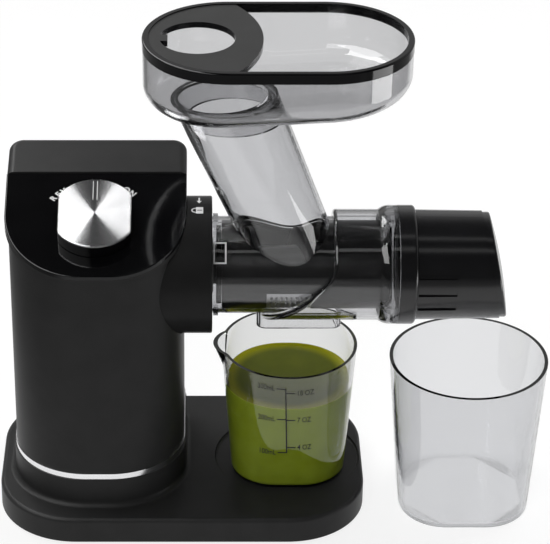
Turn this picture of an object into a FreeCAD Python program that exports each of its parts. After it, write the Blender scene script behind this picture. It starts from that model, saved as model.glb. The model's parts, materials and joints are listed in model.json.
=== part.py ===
import FreeCAD, Part
import math
import os

from FreeCAD import Vector

# Horizontal slow juicer. Millimetres, +Z up, front of the machine towards -Y.
# The model is laid out with X = 0 on the tower's centre and Y = 0 on the drum axis,
# then every piece is shifted so that the origin is the middle of the footprint on the table.

# General fits
RUN_CLEARANCE = 0.05
OVERCUT = 1.0
TOUCH = 0.001
LOOSE_CLEARANCE = 0.3
SCREW_CLEARANCE = 0.1

# Tower
TOWER_WIDTH = 105.5
TOWER_FRONT = 55.0
TOWER_BACK = 54.0
TOWER_FRONT_R = 46.0
TOWER_BACK_R = 14.0
TOWER_WALL = 2.6
TOWER_EDGE_R = 4.5
HEAD_OVERHANG = 2.0
HEAD_LIP = 0.4
HEAD_BACK_R = 9.0
BROW_STEP = 1.0
BROW_SLOPE = 11.0
BOSS_R = 5.0
BOSS_INSET = 7.2
BOSS_HEIGHT = 10.0
BOSS_ROOF = 2.0
SIDE_BOSS_Y = -8.0
VENT_LENGTH = 44.0
VENT_HEIGHT = 3.0
VENT_PITCH = 6.5
VENT_COUNT = 6
VENT_RISE = 25.0

# Control panel: slanted gloss plate over the front of the tower
PANEL_SLOPE = 21.25
PANEL_RUN = 74.8
PANEL_FRONT_HEIGHT = 140.6
PANEL_THICKNESS = 2.4
PANEL_SIDE_GAP = 0.25
PANEL_EDGE_R = 0.8

# Base plate, plinth and trim ring
BASE_LENGTH = 228.6
BASE_DEPTH = 143.0
BASE_TOP = 18.0
BASE_CORNER_R = 49.0
BASE_EDGE_R = 2.6
BASE_WALL = 2.8
BASE_SIDE_MARGIN = 10.0
BASE_DECK = 4.8
PLINTH_TOP = 37.0
PLINTH_OVERHANG = 1.2
PLINTH_FOOT_R = 3.4
PLINTH_DECK = 2.8
TRIM_HEIGHT = 4.0
TRIM_OVERHANG = 0.6
TRIM_WIDTH = 2.8
RECESS_R = 46.0
RECESS_DEPTH = 2.0
RECESS_EDGE_R = 1.6

# Underside
FOOT_HEIGHT = 1.5
FOOT_R = 9.0
FOOT_STEM_R = 3.0
FOOT_STEM_LENGTH = 4.0
FOOT_INSET_X = 34.0
FOOT_INSET_Y = 24.0
COVER_THICKNESS = 3.0
COVER_GAP = 0.3
COVER_SLOT_LENGTH = 40.0
COVER_SLOT_WIDTH = 3.0
COVER_SLOT_PITCH = 8.0
COVER_SLOT_COUNT = 5
SCREW_HEAD_R = 3.4
SCREW_HEAD_HEIGHT = 1.8
SCREW_SHANK_R = 1.6
SCREW_LENGTH = 7.0
SCREW_HEAD_DEPTH = 2.0
SCREW_SLOT = 0.8
COVER_BOSS_R = 4.4
COVER_SCREW_INSET_X = 22.0
COVER_SCREW_INSET_Y = 46.0
TOWER_SCREW_LENGTH = 13.0

# Drive axis and drum socket
DRIVE_HEIGHT = 117.2
SOCKET_R = 42.0
SOCKET_REACH = 17.45
SOCKET_LENGTH = 33.2
SOCKET_BORE_DEPTH = 12.0
SOCKET_EDGE_R = 1.2
SOCKET_POCKET_INNER_R = 20.0
SOCKET_POCKET_OUTER_R = 31.0
SOCKET_POCKET_DEPTH = 10.0
SEAL_SEAT_R = 15.0
SEAL_SEAT_DEPTH = 8.0
SEAL_LIP = 1.2
SHAFT_ROOM = 1.0

# Drum twist
UNLOCK_ANGLE = 45.0
LUG_COUNT = 3
LUG_SPAN = 22.0
LUG_FIRST_ANGLE = 30.0
LUG_RISE = 3.0
LUG_WIDTH = 4.0
LUG_DEPTH = 8.4
LUG_GAP = 0.5
LUG_GAP_ANGLE = 2.0

# Juicing drum
DRUM_R = 29.8
DRUM_WALL = 2.4
DRUM_BIG_R = 34.0
DRUM_END_GAP = 0.6
DRUM_REACH = 112.6
DRUM_FLANGE_R = 36.4
DRUM_FLANGE_LENGTH = 15.0
DRUM_FLANGE_EDGE_R = 10.0
DRUM_SPIGOT_R = 31.0
DRUM_SPIGOT_LENGTH = 8.0
DRUM_SKIRT = 8.2
DRUM_BACK_WALL = 2.4
DRUM_COLLAR_R = 31.5
DRUM_COLLAR_LENGTH = 3.0
DRUM_COLLAR_GAP = 0.5
STOP_BLOCK_ANGLE = 138.0
STOP_BLOCK_SPAN = 24.0
STOP_BLOCK_RISE = 2.4
STOP_BLOCK_LENGTH = 8.0

# Stepped edge where the drum grows wider: how far back from the drum's front it lies, from the top down
STEP_TOP_BACK = 39.3
STEP_MIDDLE_BACK = 47.3
STEP_LOWER_BACK = 65.3
STEP_BOTTOM_BACK = 92.8
STEP_END_SLOPE = 0.4
STEP_EDGE_R = 2.0

# Juice spout under the drum
SPOUT_OFFSET = 53.3
SPOUT_LENGTH = 52.0
SPOUT_DEPTH = 24.0
SPOUT_WALL = 2.2
SPOUT_CORNER_R = 6.0
SPOUT_DROP = 4.7

# Feed chute: slanted cone that leans back over the tower
FEED_TILT = 22.5
FEED_OFFSET = 54.2
FEED_FOOT_R = 26.0
FEED_TOP_R = 30.0
FEED_WALL = 2.4
FEED_HEIGHT = 111.4

# Hopper tray and lid
TRAY_HEIGHT = 40.6
TRAY_SEAT_GAP = 0.4
TRAY_LENGTH = 159.0
TRAY_R = 51.0
TRAY_HOLE_OFFSET = 32.5
TRAY_WALL = 2.4
TRAY_BOTTOM_R = 13.0
TRAY_FLOOR_SLOPE = 3.15
TRAY_FLOOR_OFFSET = 18.8
TRAY_RIM_INSET = 0.2
NECK_LENGTH = 11.0
NECK_WALL = 2.2
LID_BAND = 6.4
LID_SKIRT = 0.9
LID_FLANGE = 3.6
LID_TOP = 4.9
LID_OVERLAP = 0.5
LID_EDGE_R = 1.0
LID_COVER_REACH = 71.0
LID_COVER_ARC_R = 79.0
LID_COVER_DROP = 0.7
LID_COVER_THICKNESS = 3.6
PUSHER_HOLE_R = 22.2
PUSHER_KEY_WIDTH = 9.0
PUSHER_KEY_DEPTH = 4.8

# Strainer and auger
STRAINER_CLEARANCE = 0.3
STRAINER_WALL = 2.4
STRAINER_BACK_GAP = 0.4
STRAINER_FRONT_INSET = 4.8
STRAINER_WINDOW_LENGTH = 27.0
STRAINER_WINDOW_OFFSET = 7.0
STRAINER_WINDOW_SPAN = 160.0
STRAINER_HUB_R = 8.0
STRAINER_SPOKE_WIDTH = 5.0
STRAINER_SPOKE_COUNT = 3
STRAINER_SPOKE_FIRST_ANGLE = 30.0
MESH_THICKNESS = 0.8
MESH_INSET = 0.5
MESH_SLOT_LENGTH = 1.5
MESH_SLOT_PITCH = 3.0
MESH_ROW_ANGLE = 10.0
MESH_ROW_GAP = 3.0
AUGER_CLEARANCE = 0.8
AUGER_CORE_BACK_R = 10.0
AUGER_CORE_FRONT_R = 15.5
AUGER_PITCH = 31.0
AUGER_FLIGHT_ROOT = 6.0
AUGER_FLIGHT_TIP = 3.0
AUGER_FLIGHT_SINK = 2.0
AUGER_DISC = 3.0
AUGER_END_GAP = 3.8
AUGER_HUB_R = 12.0
AUGER_DISC_GAP = 1.8
AUGER_PIN_R = 5.0
AUGER_FRONT_GAP = 2.0
HEX_FLATS = 11.5
HEX_CLEARANCE = 0.2
HEX_LENGTH = 17.0
DRUM_SEAL_LIP = 0.4
DRUM_SEAL_WALL = 1.6
DRUM_SEAL_FLANGE_R = 17.0
DRUM_SEAL_FLANGE = 1.4

# End cap
CAP_RING_R = 36.4
CAP_RING_LENGTH = 10.5
CAP_RING_EDGE_R = 2.2
CAP_R = 33.8
CAP_TAPER = 1.0
CAP_WALL = 2.8
CAP_GAP = 0.3
CAP_TOP_LENGTH = 55.0
CAP_BOTTOM_LENGTH = 67.8
CAP_END_R = 1.5
CAP_END_BAND = 4.2
CAP_END_INSET = 0.8
CAP_END_BULGE = 2.4
CAP_OUTLET_LENGTH = 34.0
CAP_OUTLET_WIDTH = 30.0
CAP_OUTLET_START = 16.0
CAP_SLOT_LENGTH = 23.3
CAP_SLOT_WIDTH = 3.0
CAP_SLOT_DEPTH = 1.5
CAP_SLOT_START = 11.0
CAP_SLOT_ANGLES = (164.2, 183.8, 204.7)
CAP_LUG_RISE = 1.6
CAP_LUG_WIDTH = 3.0
CAP_LUG_SPAN = 24.0
CAP_GROOVE_DEPTH = 2.1
CAP_GROOVE_WIDTH = 3.8
CAP_SEAL_R = 1.1
CAP_SEAL_X = 2.2

# Gearbox, gears and motor
PLATE_THICKNESS = 4.0
PLATE_GAP = 21.0
PLATE_HALF_DEPTH = 36.0
PLATE_RISE = 24.0
PLATE_CORNER_R = 8.0
PLATE_FOOT_LENGTH = 9.0
PLATE_FOOT_THICKNESS = 3.0
PLATE_SCREW_Y = 26.0
SPACER_R = 4.5
SPACER_Y = 30.0
SPACER_LOW = 25.0
SPACER_DROP = 31.0
STAGE_ONE_MODULE = 0.8
STAGE_ONE_PINION = 14
STAGE_ONE_GEAR = 63
STAGE_TWO_MODULE = 1.25
STAGE_TWO_PINION = 14
STAGE_TWO_GEAR = 56
GEAR_ADDENDUM = 0.8
GEAR_DEDENDUM = 1.25
GEAR_BACKLASH = 0.16
PRESSURE_ANGLE = 20.0
FLANK_POINTS = 4
STAGE_ONE_WIDTH = 6.0
STAGE_TWO_WIDTH = 9.0
GEAR_HOLE_R = 5.0
GEAR_HOLE_PITCH_R = 20.0
GEAR_HOLE_COUNT = 6
GEAR_SIDE_GAP = 1.5
IDLER_PIN_R = 3.5
DRIVE_SHAFT_R = 7.0
BUSH_WALL = 2.5
BUSH_FLANGE = 1.2
BUSH_FLANGE_R = 12.0
MOTOR_R = 29.0
MOTOR_LENGTH = 50.0
MOTOR_NOSE_R = 9.0
MOTOR_SHAFT_R = 2.5
MOTOR_BORE_DEPTH = 40.0
MOTOR_EDGE_R = 3.0
MOTOR_SCREW_PITCH_R = 17.0
SOCKET_SCREW_PITCH_R = 36.5
SOCKET_SCREW_LENGTH = 12.0
SOCKET_SCREW_COUNT = 3
SOCKET_SCREW_FIRST_ANGLE = 30.0

# Knob and switch
KNOB_R = 26.2
KNOB_FLATS = 43.5
KNOB_HEIGHT = 10.5
KNOB_GAP = 0.5
KNOB_CORNER_R = 5.0
KNOB_FACE = 1.4
KNOB_FACE_EDGE = 0.5
KNOB_WALL = 2.4
KNOB_BOSS_R = 6.0
POINTER_WIDTH = 3.0
POINTER_LENGTH = 15.0
POINTER_DEPTH = 0.6
SPINDLE_R = 3.0
SPINDLE_GRIP = 6.0
SWITCH_SIDE = 16.0
SWITCH_DEPTH = 14.0
SWITCH_BUSH_R = 4.8
TERMINAL_WIDTH = 3.0
TERMINAL_THICKNESS = 0.8
TERMINAL_LENGTH = 5.0
TERMINAL_PITCH = 5.0
SWITCH_NUT_R = 7.5
SWITCH_NUT_HEIGHT = 2.2
NUT_POCKET_R = 9.0

# Control board and cord gland
BOARD_WIDTH = 56.0
BOARD_HEIGHT = 52.0
BOARD_THICKNESS = 1.6
BOARD_RISE = 85.0
BOARD_STANDOFF = 5.0
BOARD_STANDOFF_R = 3.0
BOARD_HOLE_INSET = 5.0
BOARD_BLOCK_HEIGHT = 7.0
BOARD_BLOCK_WIDTH = 14.0
CAPACITOR_R = 3.5
CAPACITOR_PITCH = 10.0
GLAND_X = 31.0
GLAND_RISE = 17.0
GLAND_R = 5.5
GLAND_BORE_R = 3.2
GLAND_FLANGE_R = 8.5
GLAND_FLANGE = 2.5
GLAND_TAIL = 5.0

# Cups
JUICE_CUP_OFFSET = 5.2
JUICE_CUP_HEIGHT = 86.0
JUICE_CUP_RIM_R = 42.3
JUICE_CUP_BASE = 71.0
JUICE_CUP_BASE_R = 27.0
JUICE_CUP_WALL = 2.0
JUICE_CUP_LIP = 12.6
JUICE_CUP_LIP_R = 17.6
JUICE_CUP_LIP_HEIGHT = 44.0
LIP_TIP_R = 0.5
PULP_CUP_HEIGHT = 101.0
PULP_CUP_RIM_R = 48.8
PULP_CUP_BASE = 81.0
PULP_CUP_BASE_R = 28.0
PULP_CUP_WALL = 2.2
PULP_CUP_OFFSET = 12.6
PULP_CUP_Y = -15.5
CUP_EDGE_R = 3.0
CUP_RIM_SPLIT = 0.05

# Heights that follow from the sizes above
TOWER_BOTTOM = PLINTH_TOP + TRIM_HEIGHT
SLOPE = math.radians(PANEL_SLOPE)
BROW_ANGLE = math.radians(BROW_SLOPE)
TILT = math.radians(FEED_TILT)
FLOOR_ANGLE = math.radians(TRAY_FLOOR_SLOPE)
DRIVE_Z = TOWER_BOTTOM + DRIVE_HEIGHT
PANEL_BACK_Y = PANEL_RUN - TOWER_FRONT
PANEL_FRONT_Z = TOWER_BOTTOM + PANEL_FRONT_HEIGHT
BROW_Z = PANEL_FRONT_Z + PANEL_RUN * math.tan(SLOPE) + BROW_STEP
TOWER_TOP = BROW_Z + (TOWER_BACK + HEAD_LIP - PANEL_BACK_Y) * math.tan(BROW_ANGLE)
HEAD_DEPTH = PANEL_THICKNESS + TOWER_WALL
HEAD_BACK_Z = PANEL_FRONT_Z + PANEL_RUN * math.tan(SLOPE) - HEAD_DEPTH / math.cos(SLOPE)
RECESS_FLOOR = BASE_TOP - RECESS_DEPTH
DECK_UNDERSIDE = BASE_TOP - BASE_DECK
PLINTH_UNDERSIDE = PLINTH_TOP - PLINTH_DECK
COVER_TOP = FOOT_HEIGHT + COVER_THICKNESS
KNOB_Y = -TOWER_FRONT + PANEL_RUN / 2
KNOB_Z = PANEL_FRONT_Z + PANEL_RUN / 2 * math.tan(SLOPE)
IDLER_Z = DRIVE_Z - STAGE_TWO_MODULE * (STAGE_TWO_PINION + STAGE_TWO_GEAR) / 2
MOTOR_Z = IDLER_Z - STAGE_ONE_MODULE * (STAGE_ONE_PINION + STAGE_ONE_GEAR) / 2
PLATE_TOP_Z = DRIVE_Z + PLATE_RISE
BOARD_BOTTOM_Z = TOWER_BOTTOM + BOARD_RISE
GLAND_Z = TOWER_BOTTOM + GLAND_RISE
SPOUT_BOTTOM_Z = DRIVE_Z - DRUM_BIG_R - SPOUT_DROP
FEED_TOP_Z = DRIVE_Z + FEED_HEIGHT
TRAY_BOTTOM_Z = FEED_TOP_Z + TRAY_SEAT_GAP
TRAY_TOP_Z = TRAY_BOTTOM_Z + TRAY_HEIGHT

# Radii that follow
STRAINER_R = DRUM_R - DRUM_WALL - STRAINER_CLEARANCE
STRAINER_BORE = STRAINER_R - STRAINER_WALL
AUGER_R = STRAINER_BORE - AUGER_CLEARANCE

# Places along the drive axis that follow, from the base's left end to the pulp cup
BASE_LEFT = -TOWER_WIDTH / 2 - BASE_SIDE_MARGIN
BASE_RIGHT = BASE_LEFT + BASE_LENGTH
SOCKET_FACE_X = TOWER_WIDTH / 2 + SOCKET_REACH
SOCKET_FLOOR_X = SOCKET_FACE_X - SOCKET_BORE_DEPTH
PLATE_FRONT_X = SOCKET_FACE_X - SOCKET_LENGTH
PLATE_BACK_X = PLATE_FRONT_X - 2 * PLATE_THICKNESS - PLATE_GAP
LUG_BACK_X = SOCKET_FACE_X - LUG_DEPTH
DRUM_BACK_X = SOCKET_FLOOR_X + DRUM_END_GAP
DRUM_FRONT_X = SOCKET_FACE_X + DRUM_REACH
DRUM_BACK_WALL_X = DRUM_BACK_X + DRUM_SKIRT
AUGER_BACK_X = SOCKET_FLOOR_X + AUGER_END_GAP
AUGER_DISC_X = DRUM_BACK_WALL_X + DRUM_BACK_WALL + DRUM_SEAL_FLANGE + AUGER_DISC_GAP
STRAINER_BACK_X = AUGER_DISC_X + AUGER_DISC + STRAINER_BACK_GAP
STRAINER_FRONT_X = DRUM_FRONT_X - STRAINER_FRONT_INSET
SPOUT_CENTRE_X = SOCKET_FACE_X + SPOUT_OFFSET
JUICE_CUP_X = SPOUT_CENTRE_X - JUICE_CUP_OFFSET
STRAINER_MIDDLE_X = SPOUT_CENTRE_X - STRAINER_WINDOW_OFFSET
STRAINER_WINDOW_X = STRAINER_MIDDLE_X - STRAINER_WINDOW_LENGTH / 2
FEED_FOOT_X = SOCKET_FACE_X + FEED_OFFSET
PUSHER_HOLE_X = FEED_FOOT_X - (TRAY_TOP_Z - DRIVE_Z) * math.tan(TILT)
TRAY_LEFT_X = PUSHER_HOLE_X - TRAY_HOLE_OFFSET
CAP_START_X = DRUM_FRONT_X + CAP_GAP
PULP_CUP_X = CAP_START_X + CAP_OUTLET_START + CAP_OUTLET_LENGTH / 2 + PULP_CUP_OFFSET
FEED_DIRECTION = Vector(-math.sin(TILT), 0, math.cos(TILT))
FEED_LENGTH = FEED_HEIGHT / math.cos(TILT)
ORIGIN_X = (BASE_LEFT + PULP_CUP_X + PULP_CUP_RIM_R) / 2

X_AXIS = Vector(1, 0, 0)
Y_AXIS = Vector(0, 1, 0)
Z_AXIS = Vector(0, 0, 1)


# Shared shapes

def box(x0, x1, y0, y1, z0, z1):
    return Part.makeBox(x1 - x0, y1 - y0, z1 - z0, Vector(x0, y0, z0))


def upright(radius, z0, z1, x=0.0, y=0.0):
    """Round post standing between two heights."""
    return Part.makeCylinder(radius, z1 - z0, Vector(x, y, z0), Z_AXIS)


def round_bar(radius, x0, x1, z=DRIVE_Z, y=0.0):
    """Round bar lying along X."""
    return Part.makeCylinder(radius, x1 - x0, Vector(x0, y, z), X_AXIS)


def sleeve(outer, inner, x0, x1, z=DRIVE_Z, y=0.0):
    """Tube lying along X."""
    return round_bar(outer, x0, x1, z, y).cut(round_bar(inner, x0, x1, z, y))


def ring_sector(inner, outer, x0, x1, middle_angle, span):
    """Piece of a ring round the drive axis; angles run from +Y towards +Z."""
    corners = [Vector(x0, inner, DRIVE_Z), Vector(x1, inner, DRIVE_Z), Vector(x1, outer, DRIVE_Z)]
    corners.append(Vector(x0, outer, DRIVE_Z))
    face = Part.Face(Part.makePolygon(corners + corners[:1]))
    sector = face.revolve(Vector(0, 0, DRIVE_Z), X_AXIS, span)
    sector.rotate(Vector(0, 0, DRIVE_Z), X_AXIS, middle_angle - span / 2)
    return sector


def rounded_wire(corners, z):
    """Closed outline in a level plane from (x, y, radius) corners given anticlockwise."""
    edges = []
    starts = []
    ends = []
    middles = []
    count = len(corners)
    for index in range(count):
        x, y, radius = corners[index]
        here = Vector(x, y, z)
        before = Vector(corners[index - 1][0], corners[index - 1][1], z)
        after = Vector(corners[(index + 1) % count][0], corners[(index + 1) % count][1], z)
        inward = (before - here).normalize()
        outward = (after - here).normalize()
        half = inward.getAngle(outward) / 2
        reach = radius / math.tan(half)
        bisector = (inward + outward).normalize()
        centre = here + bisector * (radius / math.sin(half))
        starts.append(here + inward * reach)
        ends.append(here + outward * reach)
        middles.append(centre - bisector * radius)
    for index in range(count):
        edges.append(Part.Arc(starts[index], middles[index], ends[index]).toShape())
        gap_end = starts[(index + 1) % count]
        if ends[index].distanceToPoint(gap_end) > TOUCH:
            edges.append(Part.LineSegment(ends[index], gap_end).toShape())
    return Part.Wire(edges)


def rectangle_wire(left, right, front, back, radius, z):
    """Rectangle with one corner radius."""
    corners = [(left, front, radius), (right, front, radius), (right, back, radius), (left, back, radius)]
    return rounded_wire(corners, z)


def prism(wire, height):
    return Part.Face(wire).extrude(Vector(0, 0, height))


def tower_wire(inset, z):
    """D-shaped outline of the tower, moved inwards by an inset."""
    half = TOWER_WIDTH / 2 - inset
    front = TOWER_FRONT - inset
    back = TOWER_BACK - inset
    front_r = TOWER_FRONT_R - inset
    back_r = TOWER_BACK_R - inset
    corners = [(-half, -front, front_r), (half, -front, front_r), (half, back, back_r), (-half, back, back_r)]
    return rounded_wire(corners, z)


def head_prism(growth):
    """Upright block with the outline of the tower's head, wider than the body, moved outwards by a growth."""
    half = TOWER_WIDTH / 2 + HEAD_OVERHANG + growth
    front = TOWER_FRONT + HEAD_LIP + growth
    back = TOWER_BACK + HEAD_LIP + growth
    front_r = TOWER_FRONT_R + growth
    back_r = HEAD_BACK_R + growth
    corners = [(-half, -front, front_r), (half, -front, front_r), (half, back, back_r), (-half, back, back_r)]
    return prism(rounded_wire(corners, TOWER_BOTTOM), TOWER_TOP - TOWER_BOTTOM)


def base_wire(inset, z):
    """Rounded rectangle of the base, moved inwards by an inset."""
    left = BASE_LEFT + inset
    right = BASE_RIGHT - inset
    half = BASE_DEPTH / 2 - inset
    return rectangle_wire(left, right, -half, half, BASE_CORNER_R - inset, z)


def tray_wire(inset, z):
    """Stadium outline of the hopper, moved inwards by an inset."""
    radius = TRAY_R - inset
    left = TRAY_LEFT_X + TRAY_R
    right = TRAY_LEFT_X + TRAY_LENGTH - TRAY_R
    top = Part.LineSegment(Vector(right, radius, z), Vector(left, radius, z)).toShape()
    bottom = Part.LineSegment(Vector(left, -radius, z), Vector(right, -radius, z)).toShape()
    left_tip = Vector(left - radius, 0, z)
    right_tip = Vector(right + radius, 0, z)
    left_arc = Part.Arc(Vector(left, radius, z), left_tip, Vector(left, -radius, z)).toShape()
    right_arc = Part.Arc(Vector(right, -radius, z), right_tip, Vector(right, radius, z)).toShape()
    return Part.Wire([bottom, right_arc, top, left_arc])


def on_panel(shape):
    """Put a shape made on a level panel, centred on the knob, onto the slanted panel."""
    placed = shape.copy()
    turn = FreeCAD.Rotation(X_AXIS, PANEL_SLOPE)
    placed.Placement = FreeCAD.Placement(Vector(0, KNOB_Y, KNOB_Z), turn).multiply(placed.Placement)
    return placed


def panel_wedge(drop):
    """Everything above the panel surface lowered by a drop, in front of the brow."""
    reach = TOWER_WIDTH * 2
    depth = PANEL_RUN * 2
    wedge = on_panel(box(-reach, reach, -depth, depth, -drop, TOWER_WIDTH))
    return wedge.common(box(-reach, reach, -depth, PANEL_BACK_Y, 0, TOWER_TOP * 2))


def brow_wedge(drop):
    """Everything above the brow surface lowered by a drop."""
    reach = TOWER_WIDTH * 2
    wedge = box(-reach, reach, -reach, reach, -drop, reach)
    wedge.rotate(Vector(0, 0, 0), X_AXIS, BROW_SLOPE)
    wedge.translate(Vector(0, PANEL_BACK_Y, BROW_Z))
    return wedge


def brow_edges(shape):
    """The edges round the brow, except the one along the panel."""
    found = []
    for edge in shape.Edges:
        middle = edge.valueAt((edge.FirstParameter + edge.LastParameter) / 2)
        height = BROW_Z + (middle.y - PANEL_BACK_Y) * math.tan(BROW_ANGLE)
        if abs(middle.z - height) < TOUCH and middle.y > PANEL_BACK_Y + TOUCH:
            found.append(edge)
    return found


def screw_up(x, y, head_z, length):
    """Pan-head screw pointing upwards with its head's underside facing down at a height."""
    head = upright(SCREW_HEAD_R, head_z, head_z + SCREW_HEAD_HEIGHT, x, y)
    shank = upright(SCREW_SHANK_R, head_z + SCREW_HEAD_HEIGHT, head_z + SCREW_HEAD_HEIGHT + length, x, y)
    half = SCREW_SLOT / 2
    slot_top = head_z + SCREW_HEAD_HEIGHT / 2
    slot = box(x - SCREW_HEAD_R, x + SCREW_HEAD_R, y - half, y + half, head_z - OVERCUT, slot_top)
    return head.fuse(shank).cut(slot).removeSplitter()


def screw_right(x, y, z, length):
    """Pan-head screw lying along X, its head ending at x and its shank pointing to +X."""
    head = round_bar(SCREW_HEAD_R, x - SCREW_HEAD_HEIGHT, x, z, y)
    shank = round_bar(SCREW_SHANK_R, x, x + length, z, y)
    half = SCREW_SLOT / 2
    slot_x0 = x - SCREW_HEAD_HEIGHT - OVERCUT
    slot = box(slot_x0, x - SCREW_HEAD_HEIGHT / 2, y - SCREW_HEAD_R, y + SCREW_HEAD_R, z - half, z + half)
    return head.fuse(shank).cut(slot).removeSplitter()


def edges_at_height(shape, z):
    """Edges that lie wholly at one height."""
    found = []
    for edge in shape.Edges:
        bounds = edge.BoundBox
        if abs(bounds.ZMin - z) < TOUCH and abs(bounds.ZMax - z) < TOUCH:
            found.append(edge)
    return found


def edges_at_x(shape, x, radius):
    """Round edges at one place along the drive axis with one radius."""
    found = []
    for edge in shape.Edges:
        bounds = edge.BoundBox
        flat = abs(bounds.XMin - x) < TOUCH and abs(bounds.XMax - x) < TOUCH
        if flat and abs(bounds.ZMax - DRIVE_Z - radius) < TOUCH:
            found.append(edge)
    return found


# Base

def tower_boss_places():
    """Where the tower's screw bosses stand along its two straight side walls."""
    side = TOWER_WIDTH / 2 - BOSS_INSET
    back = TOWER_BACK - TOWER_BACK_R
    return [(-side, SIDE_BOSS_Y), (side, SIDE_BOSS_Y), (-side, back), (side, back)]


def cover_screw_places():
    places = []
    for x in (BASE_LEFT + COVER_SCREW_INSET_X, BASE_RIGHT - COVER_SCREW_INSET_X):
        for y in (-BASE_DEPTH / 2 + COVER_SCREW_INSET_Y, BASE_DEPTH / 2 - COVER_SCREW_INSET_Y):
            places.append((x, y))
    return places


def foot_places():
    places = []
    for x in (BASE_LEFT + FOOT_INSET_X, BASE_RIGHT - FOOT_INSET_X):
        for y in (-BASE_DEPTH / 2 + FOOT_INSET_Y, BASE_DEPTH / 2 - FOOT_INSET_Y):
            places.append((x, y))
    return places


def plate_foot_places():
    """Screw places of the two gearbox feet on the plinth."""
    places = []
    inset = PLATE_THICKNESS + PLATE_FOOT_LENGTH / 2
    for x in (PLATE_BACK_X + inset, PLATE_FRONT_X - inset):
        for y in (-PLATE_SCREW_Y, PLATE_SCREW_Y):
            places.append((x, y))
    return places


def base_plate():
    """Deck with skirt, the plinth that carries the tower and the round recess for the cup."""
    deck = prism(base_wire(0, FOOT_HEIGHT), BASE_TOP - FOOT_HEIGHT)
    deck = deck.makeFillet(BASE_EDGE_R, edges_at_height(deck, BASE_TOP))
    plinth = prism(tower_wire(-PLINTH_OVERHANG, DECK_UNDERSIDE), PLINTH_TOP - DECK_UNDERSIDE)
    body = deck.fuse(plinth).removeSplitter()
    plinth_face = Part.Face(tower_wire(-PLINTH_OVERHANG, BASE_TOP))
    foot_edges = []
    for edge in edges_at_height(body, BASE_TOP):
        middle = edge.valueAt((edge.FirstParameter + edge.LastParameter) / 2)
        if plinth_face.distToShape(Part.Vertex(middle))[0] < TOUCH:
            foot_edges.append(edge)
    body = body.makeFillet(PLINTH_FOOT_R, foot_edges)
    recess = upright(RECESS_R, RECESS_FLOOR, BASE_TOP + OVERCUT, JUICE_CUP_X, 0)
    recess = recess.makeFillet(RECESS_EDGE_R, edges_at_height(recess, RECESS_FLOOR))
    body = body.cut(recess)
    hollow = prism(base_wire(BASE_WALL, FOOT_HEIGHT - OVERCUT), DECK_UNDERSIDE - FOOT_HEIGHT + OVERCUT)
    tower_hollow = prism(tower_wire(BASE_WALL - PLINTH_OVERHANG, FOOT_HEIGHT), PLINTH_UNDERSIDE - FOOT_HEIGHT)
    body = body.cut(hollow.fuse(tower_hollow))
    for x, y in cover_screw_places():
        post = upright(COVER_BOSS_R, COVER_TOP, DECK_UNDERSIDE, x, y)
        if abs(x) < TOWER_WIDTH / 2:
            post = upright(COVER_BOSS_R, COVER_TOP, PLINTH_UNDERSIDE, x, y)
        body = body.fuse(post)
        body = body.cut(upright(SCREW_SHANK_R + SCREW_CLEARANCE, COVER_TOP, COVER_TOP + SCREW_LENGTH, x, y))
    for x, y in tower_boss_places():
        body = body.fuse(upright(BOSS_R, PLINTH_UNDERSIDE, TOWER_BOTTOM, x, y))
        body = body.cut(upright(SCREW_SHANK_R + SCREW_CLEARANCE, FOOT_HEIGHT, TOWER_BOTTOM, x, y))
    for x, y in plate_foot_places():
        body = body.cut(upright(SCREW_SHANK_R + SCREW_CLEARANCE, FOOT_HEIGHT, PLINTH_TOP, x, y))
    return body.removeSplitter()


def bottom_cover():
    """Flat plate that closes the base, with cooling slots under the tower."""
    plate = prism(base_wire(BASE_WALL + COVER_GAP, FOOT_HEIGHT), COVER_THICKNESS)
    for index in range(COVER_SLOT_COUNT):
        y = (index - (COVER_SLOT_COUNT - 1) / 2) * COVER_SLOT_PITCH
        half = COVER_SLOT_LENGTH / 2
        slot = box(-half, half, y - COVER_SLOT_WIDTH / 2, y + COVER_SLOT_WIDTH / 2, 0, COVER_TOP + OVERCUT)
        plate = plate.cut(slot)
    for x, y in cover_screw_places():
        plate = plate.cut(upright(SCREW_SHANK_R + SCREW_CLEARANCE, 0, COVER_TOP + OVERCUT, x, y))
        plate = plate.cut(upright(SCREW_HEAD_R + LOOSE_CLEARANCE, 0, FOOT_HEIGHT + SCREW_HEAD_DEPTH, x, y))
    for x, y in foot_places():
        plate = plate.cut(upright(FOOT_STEM_R + SCREW_CLEARANCE, 0, COVER_TOP + OVERCUT, x, y))
    return plate


def base_feet():
    """Four soft feet with stems pushed through the bottom cover."""
    feet = []
    for x, y in foot_places():
        pad = upright(FOOT_R, 0, FOOT_HEIGHT, x, y)
        stem = upright(FOOT_STEM_R, FOOT_HEIGHT, FOOT_HEIGHT + FOOT_STEM_LENGTH, x, y)
        feet.append(pad.fuse(stem))
    return Part.makeCompound(feet)


def cover_screws():
    head_z = FOOT_HEIGHT + SCREW_HEAD_DEPTH - SCREW_HEAD_HEIGHT
    return Part.makeCompound([screw_up(x, y, head_z, SCREW_LENGTH) for x, y in cover_screw_places()])


def tower_screws():
    head_z = PLINTH_UNDERSIDE - SCREW_HEAD_HEIGHT
    return Part.makeCompound([screw_up(x, y, head_z, TOWER_SCREW_LENGTH) for x, y in tower_boss_places()])


def gearbox_screws():
    """Screws that come up through the plinth into the gearbox feet."""
    head_z = PLINTH_UNDERSIDE - SCREW_HEAD_HEIGHT
    length = PLINTH_DECK + PLATE_FOOT_THICKNESS
    return Part.makeCompound([screw_up(x, y, head_z, length) for x, y in plate_foot_places()])


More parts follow.
